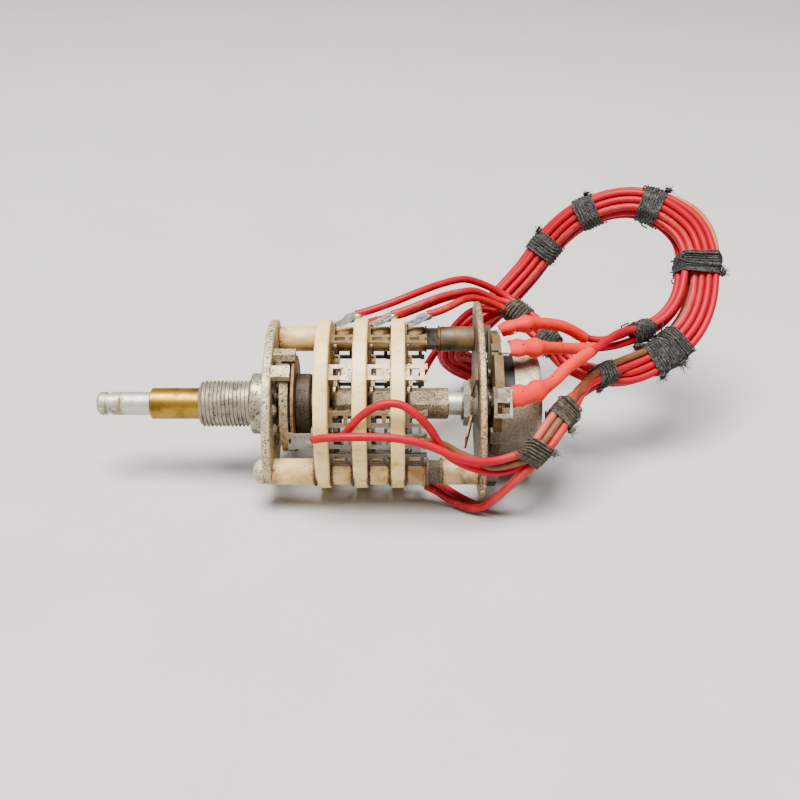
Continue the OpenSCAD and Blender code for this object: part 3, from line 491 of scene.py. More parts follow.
def sleeving():
    """Coral plastic, cloudy and scuffed, with specks of dirt."""
    material, place = new_finish("sleeve_coral")
    cloud = place.grain(160).between(0.35, 0.7)
    dirt = place.dots(760, (0.2, 0.1), 230, (0.46, 0.6))
    scuff = place.grain(900, 4.0, 0.7).between(0.55, 0.75)
    tone = dirt.blend(cloud.blend((214, 28, 24), (222, 48, 38)), (84, 30, 26))
    return surface(material, Base_Color=tone, Roughness=0.62 + 0.2 * scuff, Specular_IOR_Level=0.2,
                   Normal=place.grain(1400).bumps(0.6, 0.08))


sleeve_finish = sleeving()
for number, route in enumerate(sleeve_routes):
    line = flowing(route, 10)
    sleeve = tubes(f"sleeve_{number + 1}", [line], MM, 24, caps=False)
    along = 0
    for point, spot, before in zip(sleeve.data.splines[0].points, line, [line[0]] + line):
        along += (spot - before).length
        point.radius = from_table(sleeve_radii, along / MM)
    sleeve = as_mesh(sleeve)
    out = Vector((0, line[0].y, line[0].z)).normalized()
    form = bmesh.new()
    form.from_mesh(sleeve.data)
    bmesh.ops.remove_doubles(form, verts=form.verts, dist=0.001 * MM)
    for vert in form.verts:
        middle = min(line, key=lambda spot: (spot - vert.co).length_squared)
        flat = 1 - eased((middle - line[0]).length / pressed_to)
        lift = (vert.co - middle).dot(out)
        vert.co -= (1 - pressed_share) * flat * lift * out
        vert.co += (vert.co - middle).normalized() * noise.noise(vert.co * lump_scale) * lump_height
    bmesh.ops.recalc_face_normals(form, faces=form.faces)
    for face in form.faces:
        face.smooth = True
    form.to_mesh(sleeve.data)
    form.free()
    wall = sleeve.modifiers.new("wall", "SOLIDIFY")
    wall.thickness = sleeve_wall
    wall.offset = -1
    sleeve.data.materials.clear()
    sleeve.data.materials.append(sleeve_finish)
    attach(sleeve, "frame")
    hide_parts("pot_sleeves")


# Lacing ties: charcoal waxed lacing cord, wound tight around the bundles by hand, back
# across itself, and knotted. The old cord has frayed, and the worst knots have shed loose ends.
tie_w, tie_slant = 4.6 * MM, 0.25 * MM
back_w, back_slant = 0.9 * tie_w, -0.8 * MM
lace_r, hair_r = 0.17 * MM, 0.035 * MM
lace_pitch = 0.31 * MM
turn_steps, knot_steps = 28, 12
knot_w, knot_h = 0.62 * MM, 0.5 * MM
winding_hairs, knot_hairs = 16, 22
bundle_reach = 7 * MM


def wires_across(groups, middle, heading, reach):
    """Where the wires of some leads pass through the plane across a bundle."""
    spots = []
    for line in [line for (group, number), (wire, line) in wires.items() if group in groups]:
        for a, b in zip(line, line[1:]):
            before, after = (a - middle).dot(heading), (b - middle).dot(heading)
            if before <= 0 < after or after <= 0 < before:
                spot = a + (b - a) * (before / (before - after))
                if (spot - middle).length < reach:
                    spots.append(spot)
    return spots


def wound(groups, middle, heading, side, depth, turns, width, lift, slant, dice):
    """A cord pulled tight around the wires, in turns from one edge of the tie to the other."""
    line = []
    steps = round(turns * turn_steps)
    rows = {}
    for step in range(steps + 1):
        shift = (step / steps - 0.5) * width
        row = round(shift / MM * 2)
        if row not in rows:
            rows[row] = wires_across(groups, middle + row * MM / 2 * heading, heading, bundle_reach)
        angle = step / turn_steps * math.tau
        out = math.cos(angle) * side + math.sin(angle) * depth
        spots = rows[row] or [middle]
        far = max(spots, key=lambda spot: spot.dot(out))
        rise = wire_d / 2 + lift + dice.uniform(-0.04, 0.06) * MM
        skew = slant * math.sin(angle + 0.7) + dice.uniform(-0.06, 0.06) * MM
        flat = far - middle
        flat -= flat.dot(heading) * heading
        line.append(middle + flat + rise * out + (shift + skew) * heading)
    return line


def frayed(spot, out, heading, length, dice):
    """A loose hair of the cord, which stands off and curls."""
    curl = Vector((dice.uniform(-1, 1), dice.uniform(-1, 1), dice.uniform(-1, 1)))
    lean = (out + 0.8 * curl + dice.uniform(-1, 1) * heading).normalized()
    bend = lean.cross(curl).normalized()
    return [spot + length * (t * lean + 0.5 * t * t * bend) for t in (0, 0.35, 0.7, 1)]


def lacing(name, fibres, dust, tones, rough):
    """Waxed cord: fibres from dark to light under dust. Each of these is its noise and the noise's ends."""
    material, place = new_finish(name)
    dark, light, dusty = tones
    fibre = place.grain(*fibres[0]).between(*fibres[1])
    tone = layered(fibre.blend(dark, light), (place.grain(*dust[0]).between(*dust[1]), dust[2], dusty))
    return surface(material, Base_Color=tone, Roughness=rough, Normal=fibre.bumps(0.7, 0.06))


lace_finish = lacing("lacing_cord", ((3000, 4.0, 0.75), (0.42, 0.62)), ((900, 3.0), (0.5, 0.72), 0.35),
                     ((10, 10, 11), (84, 82, 78), (132, 124, 110)), 0.85)
dirty_finish = lacing("lacing_cord_dirty", ((5200, 3.0, 0.7), (0.4, 0.68)), ((800, 3.0), (0.45, 0.7), 0.6),
                      ((36, 33, 28), (88, 79, 64), (116, 104, 84)), 0.9)
bundles = {"trunk": trunk, **branches}
tie_wear = {
    "trunk": {1: 1.0, 9: 2.2, 12: 3.0, 24: 2.2, 36: 1.8, 44: 0.8, 52: 0.8},
    "top": {2: 1.0, 8: 1.0},
    "front": {2: 1.4, 8: 2.0},
    "pot": {1: 2.6},
}
dirty_ties = (("top", 2), ("front", 2), ("front", 8))
top_joins, pot_joins = 9, 24
ties = {owner: [] for owner in bundles}
for owner, i, wear in [(owner, i, wear) for owner, row in tie_wear.items() for i, wear in row.items()]:
    groups = (owner,)
    if owner == "trunk":
        groups = ("front",) + ("top",) * (i >= top_joins) + ("pot",) * (i >= pot_joins)
    finish = dirty_finish if (owner, i) in dirty_ties else lace_finish
    dice = random.Random(25 * i + len(owner))
    bundle = bundles[owner]
    middle, heading, side = bundle.line[i], bundle.headings[i], bundle.sides[i]
    around = (groups, middle, heading, side, bundle.depths[i])
    winding = wound(*around, tie_w / lace_pitch, tie_w, lace_r, tie_slant, dice)
    lines = [winding, wound(*around, 4.5 + 1.2 * wear, back_w, 2.2 * lace_r, back_slant, dice)]
    for _ in range(round(1.6 * wear - 2)):
        slack, tilt = dice.uniform(3, 5) * lace_r, dice.uniform(-2, 2) * MM
        lines.append(wound(*around, dice.uniform(0.6, 1.6), tie_w, slack, tilt, dice))
    knot_out = (-side + 0.4 * view_back).normalized()
    knot = max(winding, key=lambda spot: spot.dot(knot_out)) + 0.2 * MM * knot_out
    cross = knot_out.cross(heading)
    for loop in range(2 + round(wear)):
        lean = dice.uniform(-0.6, 0.6)
        ring = []
        for step in range(knot_steps + 1):
            angle = step / knot_steps * math.tau
            turn = knot_w * math.cos(angle) * heading + knot_h * math.sin(angle) * cross
            rise = (0.25 * math.sin(angle + lean) + 0.2 * loop) * MM
            ring.append(knot + turn + rise * knot_out + lean * MM * cross)
        lines.append(ring)
    hairs = []
    for _ in range(round(winding_hairs * wear)):
        spot = dice.choice(winding)
        hairs.append(frayed(spot, (spot - middle).normalized(), heading, dice.uniform(0.4, 1.1) * MM, dice))
    for _ in range(round(knot_hairs * wear)):
        hairs.append(frayed(knot, knot_out, heading, dice.uniform(0.6, 1.0 + 0.5 * wear) * MM, dice))
    tie = tubes(f"tie_{owner}_{i}", lines, lace_r, 6)
    fluff = tubes(f"tie_fluff_{owner}_{i}", hairs, hair_r, 4)
    for piece in (tie, fluff):
        piece.data.materials.append(finish)
        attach(piece, "frame")
        ties[owner].append(piece)
    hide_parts("lacing_ties")

for key, (wire, line) in wires.items():
    line_length(line)


# Solder joints: each lead's stripped and tinned strands lie on its lug in a drop of
# solder, and the three bent lugs on top are tinned all over. The far ends of the leads
# are cut off, with a little bare copper showing.
drop_length, drop_r = 1.5 * MM, 0.62 * MM
large_drops = {("front", 0): 1.25, ("top", 0): 1.5, ("top", 2): 1.4, ("top", 3): 1.3}
bare_end, copper_r = 0.9 * MM, 0.45 * MM
strand_count, strand_r, strand_ring = 6, 0.15 * MM, 0.32 * MM
wafer_pitch = 7.35 * MM
lug_t, lug_round = 0.5 * MM, 0.16 * MM


def softened_noise(form, height, scale):
    """Makes a smooth form a little uneven."""
    for vert in form.verts:
        vert.co += vert.normal * noise.noise(vert.co * scale) * height


solder_form = bmesh.new()
strands, copper = [], []
for (group, number), (wire, line) in wires.items():
    end = (line[-1] - line[-2]).normalized()
    copper.append([line[-1] - bare_end * end, line[-1] + bare_end * end])
    if group == "pot":
        continue
    start, back = line[0], (line[0] - line[1]).normalized()
    inwards = -Vector((0, start.y, start.z)).normalized()
    spot = start + 0.5 * MM * back + 0.45 * MM * inwards
    turn = back.to_track_quat("X", "Z").to_matrix().to_4x4()
    size = large_drops.get((group, number), 1)
    stretch = Matrix.Diagonal((size * drop_length, size * drop_r * 1.25, size * drop_r, 1))
    drop = bmesh.ops.create_icosphere(solder_form, subdivisions=3, radius=1)
    bmesh.ops.transform(solder_form, matrix=Matrix.Translation(spot) @ turn @ stretch, verts=drop["verts"])
    for strand in range(strand_count):
        angle = strand / strand_count * math.tau
        around = strand_ring * (math.cos(angle) * inwards + math.sin(angle) * inwards.cross(back))
        strands.append([start - 0.3 * MM * back + around, start + 0.6 * MM * back + around,
                        start + 1.5 * MM * back + 0.5 * around + 0.3 * MM * inwards])
for face in solder_form.faces:
    face.smooth = True
solder_form.normal_update()
softened_noise(solder_form, 0.14 * MM, 1100)
solder_drops = new_piece("solder_drops", solder_form)
tinned_strands = tubes("tinned_strands", strands, strand_r, 6)
copper_ends = tubes("copper_ends", copper, copper_r, 10)
solder_finish, place = new_finish("solder")
solder_dull = place.grain(1300, 4.0).between(0.4, 0.65)
solder_tone = solder_dull.blend((206, 206, 204), (150, 146, 138))
surface(solder_finish, Base_Color=solder_tone, Metallic=0.9, Roughness=0.26 + 0.3 * solder_dull,
        Normal=place.grain(2400).bumps(0.3, 0.05))
copper_finish, place = new_finish("copper_cut")
copper_strand = place.specks(4200).between(0.1, 0.4)
surface(copper_finish, Base_Color=copper_strand.blend((206, 128, 84), (110, 62, 40)), Metallic=0.95,
        Roughness=0.3 + 0.3 * copper_strand)
lug_form = bmesh.new()
lug_root, lug_tip = Vector((16.9, 8.1, 13.9)) * MM, Vector((20.9, 8.7, 15.6)) * MM
lug_up = view_back.cross(lug_tip - lug_root).normalized()
lug_rim = [(0, 0.25), (0.35, 0.5), (1, 0.4), (1.06, -0.3), (0.55, -0.95), (0.05, -0.7)]
for wafer in range(3):
    shift = Vector((wafer * wafer_pitch, 0, 0))
    rim = [lug_form.verts.new(lug_root.lerp(lug_tip, along) + up * MM * lug_up + shift) for along, up in lug_rim]
    lug_form.faces.new(rim)
bmesh.ops.solidify(lug_form, geom=lug_form.faces[:], thickness=lug_t)
bmesh.ops.bevel(lug_form, geom=lug_form.edges[:], offset=lug_round, segments=2, profile=0.5, affect="EDGES")
bmesh.ops.subdivide_edges(lug_form, edges=lug_form.edges[:], cuts=2, use_grid_fill=True)
bmesh.ops.recalc_face_normals(lug_form, faces=lug_form.faces)
softened_noise(lug_form, 0.07 * MM, 700)
tinned_lugs = new_piece("tinned_lugs", lug_form)
for piece, finish in ((solder_drops, solder_finish), (tinned_strands, solder_finish), (tinned_lugs, solder_finish),
                      (copper_ends, copper_finish)):
    piece.data.materials.append(finish)
    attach(piece, "frame")


# Bushing: a turned and zinc-plated brass bushing, staked into the front plate. Its long
# front end is threaded for the panel nut, and rust and dirt sit between the threads.
thread_len, thread_r, thread_end = 10.4 * MM, 4.765 * MM, 0.3 * MM
thread_pitch = 25.4 / 32 * MM
thread_depth, thread_lead = 0.45 * MM, 0.6 * MM
thread_steps = 48
shoulder_r, shoulder_len = 6.2 * MM, 3.2 * MM
shank_r, shank_end = 4.4 * MM, 5.25 * MM
bushing_bore, bore_chamfer = 3.225 * MM, 0.15 * MM


def edge_mask(place, radius):
    """1 along the edges, where handling has rubbed the surface bare."""
    rounded = place.node("ShaderNodeBevel", {"samples": 4}, {"Radius": radius})
    flat = place.node("ShaderNodeNewGeometry", {}, {}, "Normal")
    pair = {0: rounded, 1: flat}
    return place.node("ShaderNodeVectorMath", {"operation": "DOT_PRODUCT"}, pair, "Value").between(0.985, 0.86)


def spun(form, outline, steps=64):
    """A turned shape about the shaft axis from its outline of places along it and radii."""
    verts = [form.verts.new((x, 0, r)) for x, r in outline]
    edges = [form.edges.new(pair) for pair in zip(verts, verts[1:] + verts[:1])]
    bmesh.ops.spin(form, geom=verts + edges, cent=(0, 0, 0), axis=(1, 0, 0), dvec=(0, 0, 0),
                   angle=math.tau, steps=steps, use_merge=True)


bushing_form = bmesh.new()
root_r = thread_r - thread_depth
start = -thread_len - 2 * thread_pitch
tooth = [(0, root_r), (0.12, root_r), (0.44, thread_r), (0.56, thread_r), (0.88, root_r), (1, root_r)]
verts = [bushing_form.verts.new((start + share * thread_pitch, 0, r)) for share, r in tooth]
edges = [bushing_form.edges.new(pair) for pair in zip(verts, verts[1:])]
turns = math.ceil((thread_len + 4 * thread_pitch) / thread_pitch)
bmesh.ops.spin(bushing_form, geom=verts + edges, cent=(0, 0, 0), axis=(1, 0, 0),
               dvec=(thread_pitch / thread_steps, 0, 0), angle=math.tau * turns, steps=thread_steps * turns)
bmesh.ops.remove_doubles(bushing_form, verts=bushing_form.verts, dist=0.01 * MM)
for cut, way in ((-thread_len, -1), (thread_end, 1)):
    everything = bushing_form.verts[:] + bushing_form.edges[:] + bushing_form.faces[:]
    bmesh.ops.bisect_plane(bushing_form, geom=everything, dist=0.001 * MM, plane_co=(cut, 0, 0),
                           plane_no=(way, 0, 0), clear_outer=True)
for vert in bushing_form.verts:
    most = thread_r - thread_lead + max(vert.co.x + thread_len, 0)
    reach = math.hypot(vert.co.y, vert.co.z)
    if reach > most:
        vert.co.yz = vert.co.yz * (most / reach)
rims = [edge for edge in bushing_form.edges if edge.is_boundary]
inner = bmesh.ops.extrude_edge_only(bushing_form, edges=rims)["geom"]
for vert in inner:
    if isinstance(vert, bmesh.types.BMVert):
        vert.co.yz = vert.co.yz.normalized() * (root_r - 0.5 * MM)
bmesh.ops.bridge_loops(bushing_form, edges=[edge for edge in bushing_form.edges if edge.is_boundary])
spun(bushing_form, [
    (-thread_len, bushing_bore + bore_chamfer), (-thread_len, root_r - 0.25 * MM),
    (-thread_len + 0.15 * MM, root_r - 0.1 * MM), (0, root_r - 0.1 * MM), (0, shoulder_r - 0.5 * MM),
    (0.12 * MM, shoulder_r - 0.2 * MM), (0.4 * MM, shoulder_r), (shoulder_len, shoulder_r), (shoulder_len, shank_r),
    (shank_end, shank_r), (shank_end, bushing_bore), (-thread_len + bore_chamfer, bushing_bore),
])
bmesh.ops.recalc_face_normals(bushing_form, faces=bushing_form.faces)
for face in bushing_form.faces:
    face.smooth = True
for edge in bushing_form.edges:
    edge.smooth = len(edge.link_faces) == 2 and edge.calc_face_angle(0) < math.radians(28)
bushing = new_piece("bushing_threaded", bushing_form)


def bushing_plating():
    """Dull zinc, pitted, with rust near the front end and its crests rubbed bright."""
    material, place = new_finish("bushing_plating")
    pits = place.dots(1700, (0.42, 0.2), 560, (0.42, 0.55))
    cloud = place.grain(300, 4.0, 0.6).between(0.38, 0.66)
    rust = place.part("X").between(-7.6 * MM, -10 * MM) * place.grain(900, 4.0, 0.65).between(0.46, 0.62)
    tone = layered(cloud.blend((168, 160, 142), (124, 113, 94)), (pits, 1, (44, 35, 26)),
                   (rust, 0.75, (112, 72, 44)), (edge_mask(place, 0.1 * MM), 0.5, (206, 205, 200)))
    return surface(material, Base_Color=tone, Metallic=0.6 - 0.4 * rust,
                   Roughness=0.38 + 0.22 * cloud + 0.2 * pits,
                   Normal=place.grain(2600, 4.0, 0.65).bumps(0.35, 0.05))


bushing.data.materials.append(bushing_plating())
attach(bushing, "frame")
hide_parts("bushing")


# Front plate: a stamped and zinc-plated steel plate with a ring of pressed detent bumps
# and two bent stop tabs. The plating has gone dull and speckled, and its rim is rubbed bright.
def dress(finish, *nodes):
    """Gives solids of the frame their finish."""
    for node in nodes:
        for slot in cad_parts[node].material_slots:
            slot.material = finish
    return finish


def speckled(nodes, name, main, stain, pits, bright, metal=0.6, rough=0.5, pitting=1.0, painted_shade_below=0, dark=None):
    """Old plating: cloudy stains, fine light and dark specks and edges rubbed bright. Painted shade can
    darken the lower half, and what lies before a place along the shafts."""
    material, place = new_finish(name)
    cloud = place.grain(230, 4.0, 0.6).between(0.36, 0.68)
    dust = place.grain(2900, 3.0, 0.7).between(0.42, 0.62)
    holes = place.dots(1700, (0.44, 0.2), 620, (0.42, 0.54))
    wear = edge_mask(place, 0.12 * MM) * place.grain(700).between(0.3, 0.6)
    tone = layered(cloud.blend(main, stain), (dust, 0.6, bright), (holes, pitting, pits))
    # Painted shade: the lower half darkens towards the pit colour.
    if painted_shade_below:
        tone = layered(tone, (place.part("Z").between(6 * MM, -8 * MM), painted_shade_below, pits))
    tone = layered(tone, (wear, 0.7, bright))
    shine = metal - 0.4 * metal * holes
    # Painted shade: what lies before a place along the shafts is darkened and made less metallic.
    if dark:
        shaded_before_x, share = dark
        before = place.part("X").between((shaded_before_x + 0.1) * MM, shaded_before_x * MM)
        tone, shine = layered(tone, (before, share, pits)), shine * (1 - before)
    relief = place.grain(2600, 4.0, 0.65) - 0.6 * holes
    surface(material, Base_Color=tone, Metallic=shine, Roughness=rough + 0.18 * cloud - 0.15 * wear,
            Normal=relief.bumps(0.45, 0.06))
    return dress(material, *nodes)


speckled(["front_plate"], "front_plate_plating", (172, 150, 110), (136, 114, 78), (40, 30, 20), (234, 222, 194),
         metal=0.3)


# Through bolts: two long bolts with domed heads hold the whole stack together. Cream
# ceramic spacers, brown fibre washers, steel washers and plain nuts sit on them.
def glazed(nodes, name, main, stain, rust, ends, rust_reach=0.6, gloss=0.45, lower=None):
    """Cream ceramic with brown dots, rusted where it meets the steel at the given places along
    the bolts. What is lower than the shafts may take a paler colour, as painted light under painted shade above."""
    material, place = new_finish(name)
    x = place.part("X")
    cloud = place.grain(300, 4.0, 0.6).between(0.36, 0.7)
    dots = place.dots(2100, (0.3, 0.12), 420, (0.47, 0.6))
    ragged = (place.grain(800, 4.0, 0.7) - 0.5) * (1.6 * MM)
    rusted = 0
    for end in ends:
        rusted = rusted + (x + ragged).near(end * MM, rust_reach * MM)
    tone = cloud.blend(main, stain)
    # Painted light and shade: below the shafts the lower colour shows, above them the main colours.
    if lower:
        tone = place.part("Z").between(2 * MM, -2 * MM).blend(tone, cloud.blend(lower, main))
    tone = layered(tone, (dots, 0.8, rust))
    if ends:
        crust = 0.25 + 0.75 * place.grain(2200, 3.0, 0.75).between(0.44, 0.54)
        tone = layered(tone, (rusted, crust, rust))
    surface(material, Base_Color=tone, Roughness=gloss + 0.2 * cloud, Specular_IOR_Level=0.5,
            Normal=place.grain(1500).bumps(0.2, 0.05))
    return dress(material, *nodes)


spacer_rust = (104, 66, 34)
glazed(["front_spacers"], "front_spacer_glaze", (226, 192, 122), (192, 150, 86), spacer_rust, (4.6, 13.9), 2.8)
glazed(["wafer_spacers"], "wafer_spacer_glaze", (214, 178, 114), (164, 124, 70), spacer_rust,
       (16.6, 20.7, 24, 28), 0.7)
glazed(["short_spacers"], "short_spacer_glaze", (190, 156, 100), (144, 108, 62), spacer_rust, (31.3, 34.8), 0.7)
# The rear spacers' dark main colours are painted shade above the shafts, and their pale lower colour is painted
# light.
glazed(["rear_spacers"], "rear_spacer_glaze", (104, 80, 48), (66, 48, 28), spacer_rust, (38.2, 45.6), 1.1,
       lower=(206, 176, 120))
speckled(["through_bolts"], "bolt_steel", (190, 176, 146), (168, 150, 116), (96, 70, 44), (214, 206, 184),
         metal=0.3, pitting=0.7)
speckled(["clamp_nuts", "rear_nuts"], "nut_steel", (84, 76, 64), (62, 55, 46), (40, 33, 26), (130, 122, 106),
         metal=0.5, rough=0.45, pitting=0.5)
speckled(["steel_washers"], "washer_rusty", (104, 76, 48), (82, 56, 34), (50, 34, 22), (150, 130, 104),
         metal=0.4, rough=0.6)


def grained(nodes, name, first, second, scale, rough, rougher, strength, depth, low=0.4, stretch=(1, 1, 1)):
    """A dull and even material with a fine grain."""
    material, place = new_finish(name)
    grain = place.stretched(*stretch).grain(scale, 4.0, 0.7).between(low, 0.7)
    surface(material, Base_Color=grain.blend(first, second), Roughness=rough + rougher * grain,
            Normal=grain.bumps(strength, depth))
    return dress(material, *nodes)


grained(["fibre_washers"], "washer_fibre", (84, 58, 34), (48, 32, 20), 1400, 0.7, 0.2, 0.4, 0.05, 0.35,
        (1, 3, 3))


# Wafers: three pressed and glazed steatite discs with their contact clips riveted on.
# Dust and old flux have stained the cream ceramic, most of all near the clips.
def steatite():
    """Cream glaze with streaks and flecks, sooty towards the middle and rubbed along its rim."""
    material, place = new_finish("wafer_steatite")
    reach = (place.part("Y") ** 2.0 + place.part("Z") ** 2.0) ** 0.5
    cloud = place.grain(190, 5.0, 0.62).between(0.4, 0.72)
    flecks = place.dots(900, (0.2, 0.08), 260, (0.48, 0.6))
    soot = reach.between(16.6 * MM, 10 * MM) * place.grain(420, 4.0, 0.6).between(0.34, 0.62)
    streak = place.stretched(0.5, 1, 1).grain(520, 4.0, 0.65).between(0.5, 0.78)
    tone = layered(cloud.blend((250, 220, 146), (228, 192, 116)), (streak, 0.8, (172, 130, 70)),
                   (soot, 0.8, (92, 72, 46)), (flecks, 0.8, (96, 70, 44)),
                   (edge_mask(place, 0.2 * MM), 0.4, (226, 218, 194)))
    return surface(material, Base_Color=tone, Roughness=0.42 + 0.25 * cloud,
                   Normal=place.grain(1300, 4.0, 0.6).bumps(0.3, 0.06))


def silvered_clip():
    """Silvered bronze, coloured by height as painted light and shade: grey at the height of the shafts, a lit tan
    above it and shaded nearly black below.
    """
    material, place = new_finish("clip_silvered")
    # Painted light and shade: the stops run from shaded near-black low down to lit tan up high.
    stops = [(0, (34, 28, 22)), (0.28, (62, 54, 46)), (0.5, (128, 126, 122)), (0.72, (132, 112, 84)),
             (0.95, (180, 156, 110)), (1, (150, 124, 84))]
    height = place.part("Z").between(-15 * MM, 15 * MM)
    cloud = place.grain(420, 4.0, 0.6).between(0.4, 0.68)
    pits = place.dots(1900, (0.4, 0.18), 700, (0.42, 0.55))
    shine = place.part("Z").near(0, 3 * MM)
    tone = layered(place.node("ShaderNodeValToRGB", {"stops": stops}, {"Fac": height}),
                   (cloud, 0.4, (108, 84, 56)), (pits, 0.8, (46, 34, 22)),
                   (edge_mask(place, 0.1 * MM), 0.6, (226, 216, 188)))
    return surface(material, Base_Color=tone, Metallic=0.35 + 0.4 * shine,
                   Roughness=0.42 - 0.12 * shine + 0.15 * cloud,
                   Normal=place.grain(2200, 4.0, 0.65).bumps(0.4, 0.06))


dress(steatite(), "wafer_1", "wafer_2", "wafer_3")
dress(silvered_clip(), "clips_1", "clips_2", "clips_3")
speckled(["clip_rivets_1", "clip_rivets_2", "clip_rivets_3"], "clip_rivet_tin", (116, 102, 80), (88, 74, 56),
         (48, 38, 28), (176, 168, 150), rough=0.45)


# Shafts: a brass tube with a turned finish works the switch, and the bright aluminium
# shaft through it works the potentiometer. Old dirt sits around the tip.
def turned_metal(name, main, patina, scratch, metal, rough):
    """Metal from the lathe: fine rings, soft patina and a few scratches."""
    material, place = new_finish(name)
    rings = place.stretched(40, 1, 1).grain(130, 3.0, 0.7)
    cloud = place.grain(240, 4.0, 0.6).between(0.4, 0.7)
    scars = place.stretched(1, 5, 5).grain(520, 4.0, 0.7).between(0.6, 0.72)
    spots = place.dots(800, (0.12, 0.05), 500, (0.48, 0.6))
    tone = layered(cloud.blend(main, patina), (rings.between(0.55, 0.75), 0.35, patina),
                   (scars, 0.5, scratch), (spots, 0.8, scratch))
    shine, dull = metal - 0.3 * spots, rough + 0.16 * cloud + 0.12 * rings
    return material, place, tone, shine, dull, rings.bumps(0.12, 0.03)


brass, place, tone, shine, dull, rings = turned_metal(
    "shaft_brass", (164, 124, 36), (104, 74, 20), (50, 34, 14), metal=0.75, rough=0.28)
# Further back along the shafts, from the front plate on, the brass is painted dark as painted shade among the index
# parts.
tone = place.part("X").between(1 * MM, 4 * MM).blend(tone, (54, 42, 28))
dress(surface(brass, Base_Color=tone, Metallic=shine, Roughness=dull, Normal=rings), "outer_shaft")
aluminium, place, tone, shine, dull, rings = turned_metal(
    "shaft_aluminium", (196, 192, 182), (160, 153, 138), (104, 90, 72), metal=0.6, rough=0.36)
tip_x = place.part("X") + (place.grain(600) - 0.5) * (1.4 * MM)
tip_line = place.part("X").near(-26.6 * MM, 0.3 * MM)
tip_dirt = tip_x.between(-25.2 * MM, -26.6 * MM) * place.grain(800, 4.0, 0.7).between(0.42, 0.58) * 0.8
tip_dirt = tip_dirt + tip_line * place.grain(500).between(0.36, 0.5)
tone = layered(tone, (tip_dirt, 0.85, (116, 90, 62)))
dress(surface(aluminium, Base_Color=tone, Metallic=shine - 0.6 * tip_dirt, Roughness=dull + 0.2 * tip_dirt,
              Normal=rings), "inner_shaft")


# Index mechanism: two steel balls ride in a carrier on the brass tube, and a slotted
# spring disc behind them presses them between the detent bumps. A collar backs the spring.
speckled(["ball_carrier"], "carrier_steel", (134, 114, 80), (104, 84, 56), (48, 36, 24), (206, 190, 154),
         metal=0.35)
speckled(["index_spring"], "index_spring_rust", (124, 84, 54), (92, 58, 34), (42, 28, 18), (172, 136, 100),
         metal=0.4, rough=0.55)
speckled(["thrust_collar"], "collar_steel", (48, 40, 28), (34, 27, 18), (18, 14, 10), (92, 78, 58), metal=0.3,
         rough=0.6)
speckled(["index_balls"], "ball_bearing_steel", (150, 148, 144), (116, 108, 98), (64, 52, 40), (200, 198, 194),
         metal=0.9, rough=0.25, pitting=0.6)


# Drive tube and rotors: the flatted tube goes through the ceramic rotors, which carry
# the springy contact rings. Everything here is dusty and dark between the wafers.
speckled(["drive_tube"], "drive_tube_steel", (122, 104, 76), (94, 78, 54), (40, 31, 21), (184, 166, 130),
         metal=0.4, rough=0.55, pitting=0.7)
glazed(["rotor_1", "rotor_2", "rotor_3"], "rotor_steatite", (126, 108, 80), (92, 76, 54), (60, 44, 28), (),
       gloss=0.55)
speckled(["rotor_blade_1", "rotor_blade_2", "rotor_blade_3"], "rotor_blade_bronze", (140, 112, 70),
         (104, 80, 48), (54, 42, 28), (192, 172, 132), metal=0.8, rough=0.35)


# Rear plate: a second stamped plate that carries the potentiometer. Its plating has
# gone tan and brown, with bare steel along its edge.
# Its front face, before the plate along the shafts, is darkened as painted shade.
speckled(["rear_plate"], "rear_plate_plating", (136, 104, 70), (86, 62, 38), (40, 27, 17), (228, 206, 166),
         metal=0.25, rough=0.45, dark=(45.64, 0.55))


# Potentiometer mounting: its bushing goes through the rear plate, and a nut with a bronze
# leaf spring and a washer under it holds it, against a toothed washer behind the plate.
# Painted shade: the bushing and the rivets get dark tones for the gap between the rear plate and the base.
speckled(["pot_bushing", "pot_rivets"], "pot_bushing_nickel", (96, 90, 78), (74, 66, 54), (40, 34, 26),
         (140, 134, 120), metal=0.5, rough=0.45)
speckled(["pot_nut", "pot_washer"], "pot_nut_nickel", (156, 148, 130), (120, 122, 100), (72, 66, 50),
         (206, 202, 188), rough=0.42)
speckled(["leaf_spring"], "leaf_bronze", (120, 82, 48), (92, 60, 34), (50, 34, 20), (170, 136, 94), metal=0.7,
         rough=0.42)
speckled(["lock_washer"], "lock_washer_black", (52, 48, 44), (40, 36, 32), (24, 20, 18), (110, 106, 100),
         rough=0.45)


# Potentiometer: a tan laminated phenolic base with silvered terminals, a carbon track, and
# a drawn metal can crimped over it with a black liner. A brown hub turns the spring wiper.
# The third terminal ends in an eye, folded down along the rim of the base.
def phenolic():
    """Laminated paper in tan resin, with dirt in patches and pale edges."""
    material, place = new_finish("base_phenolic")
    sheets = place.stretched(9, 1, 1).grain(420, 4.0, 0.65).between(0.36, 0.68)
    dirt = place.grain(420, 4.0, 0.65).between(0.48, 0.7)
    tone = layered(sheets.blend((120, 92, 50), (94, 70, 38)), (dirt, 0.6, (58, 42, 26)),
                   (edge_mask(place, 0.15 * MM), 0.4, (156, 128, 82)))
    return surface(material, Base_Color=tone, Roughness=0.5 + 0.2 * dirt, Specular_IOR_Level=0.25,
                   Normal=sheets.bumps(0.3, 0.05))


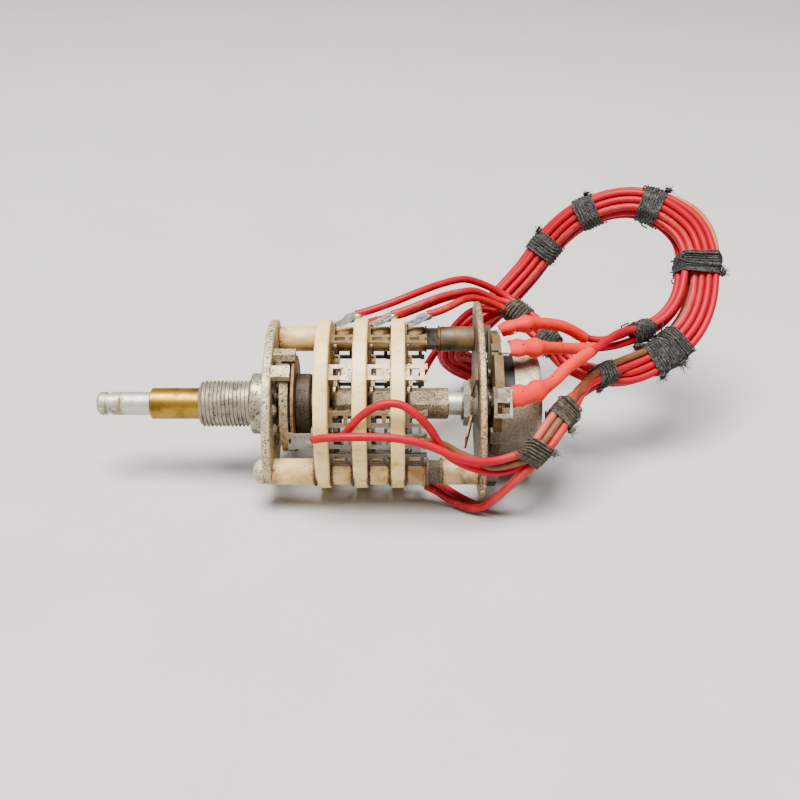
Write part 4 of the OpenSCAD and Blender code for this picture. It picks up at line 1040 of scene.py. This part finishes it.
dress(phenolic(), "pot_base")
# Painted shade: the eye's and the terminals' parts nearest the rear plate are darkened and made less metallic.
eye_finish = speckled([], "terminal_silvered", (176, 164, 136), (134, 114, 84), (84, 62, 38), (240, 234, 218),
                      metal=0.4, rough=0.26, pitting=0.4, dark=(48.6, 0.7))
speckled(["pot_terminals"], "terminal_painted_shade", (226, 219, 204), (188, 172, 144), (74, 56, 32), (248, 244, 236),
         metal=0.4, rough=0.3, pitting=0.4, dark=(49.7, 0.92))
eye_form = bmesh.new()
eye_across, eye_along = (-2, -1.4, -0.5, 0.4, 1, 1.5), (-1.4, -0.5, 0.4, 1.2, 3.4, 4.2)
eye_wall, eye_round, eye_reach = 0.45 * MM, 0.14 * MM, 15.3 * MM
window_row, window_sides = 3, (0, 4)
eye_rows = []
for t in eye_along:
    domed = [0.5 * eased((1.4 - t) / 1.6) * (1 - (x / 2) ** 2) - 0.15 * t for x in eye_across]
    eye_rows.append([eye_form.verts.new((x * MM, t * MM, z * MM)) for x, z in zip(eye_across, domed)])
for row, (first, second) in enumerate(zip(eye_rows, eye_rows[1:])):
    for i in range(len(eye_across) - 1):
        if row != window_row or i in window_sides:
            eye_form.faces.new((first[i], first[i + 1], second[i + 1], second[i]))
bmesh.ops.solidify(eye_form, geom=eye_form.faces[:], thickness=eye_wall)
sharp = [edge for edge in eye_form.edges if edge.calc_face_angle(0) > 1]
bmesh.ops.bevel(eye_form, geom=sharp, offset=eye_round, segments=2, profile=0.5, affect="EDGES")
eye_out, eye_down = Vector((0, -12, 8.5)).normalized(), Vector((0, -8.5, -12)).normalized()
eye_turn = Matrix((Vector((1, 0, 0)), eye_down, eye_out)).transposed().to_4x4()
eye_spot = Vector((49.95, 0, 0)) * MM + eye_reach * eye_out
bmesh.ops.transform(eye_form, matrix=Matrix.Translation(eye_spot) @ eye_turn, verts=eye_form.verts)
bmesh.ops.recalc_face_normals(eye_form, faces=eye_form.faces)
terminal_eye = new_piece("terminal_eye", eye_form)
terminal_eye.data.materials.append(eye_finish)
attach(terminal_eye, "frame")
# Painted shade: the can darkens towards its lower half.
speckled(["pot_can"], "can_zinc", (166, 154, 128), (130, 117, 94), (54, 44, 33), (218, 207, 180), metal=0.25,
         pitting=0.3, painted_shade_below=0.7)
grained(["pot_track"], "track_carbon", (28, 28, 30), (46, 46, 48), 3000, 0.45, 0.2, 0.2, 0.03)
grained(["pot_liner"], "liner_card", (12, 11, 10), (28, 26, 24), 1900, 0.6, 0.15, 0.3, 0.04)
glazed(["wiper_hub"], "hub_phenolic", (112, 70, 42), (86, 52, 30), (48, 30, 18), ())
speckled(["wiper_contact"], "wiper_bronze", (176, 132, 66), (140, 98, 44), (74, 50, 24), (216, 184, 120),
         metal=0.9, rough=0.3, pitting=0.4)
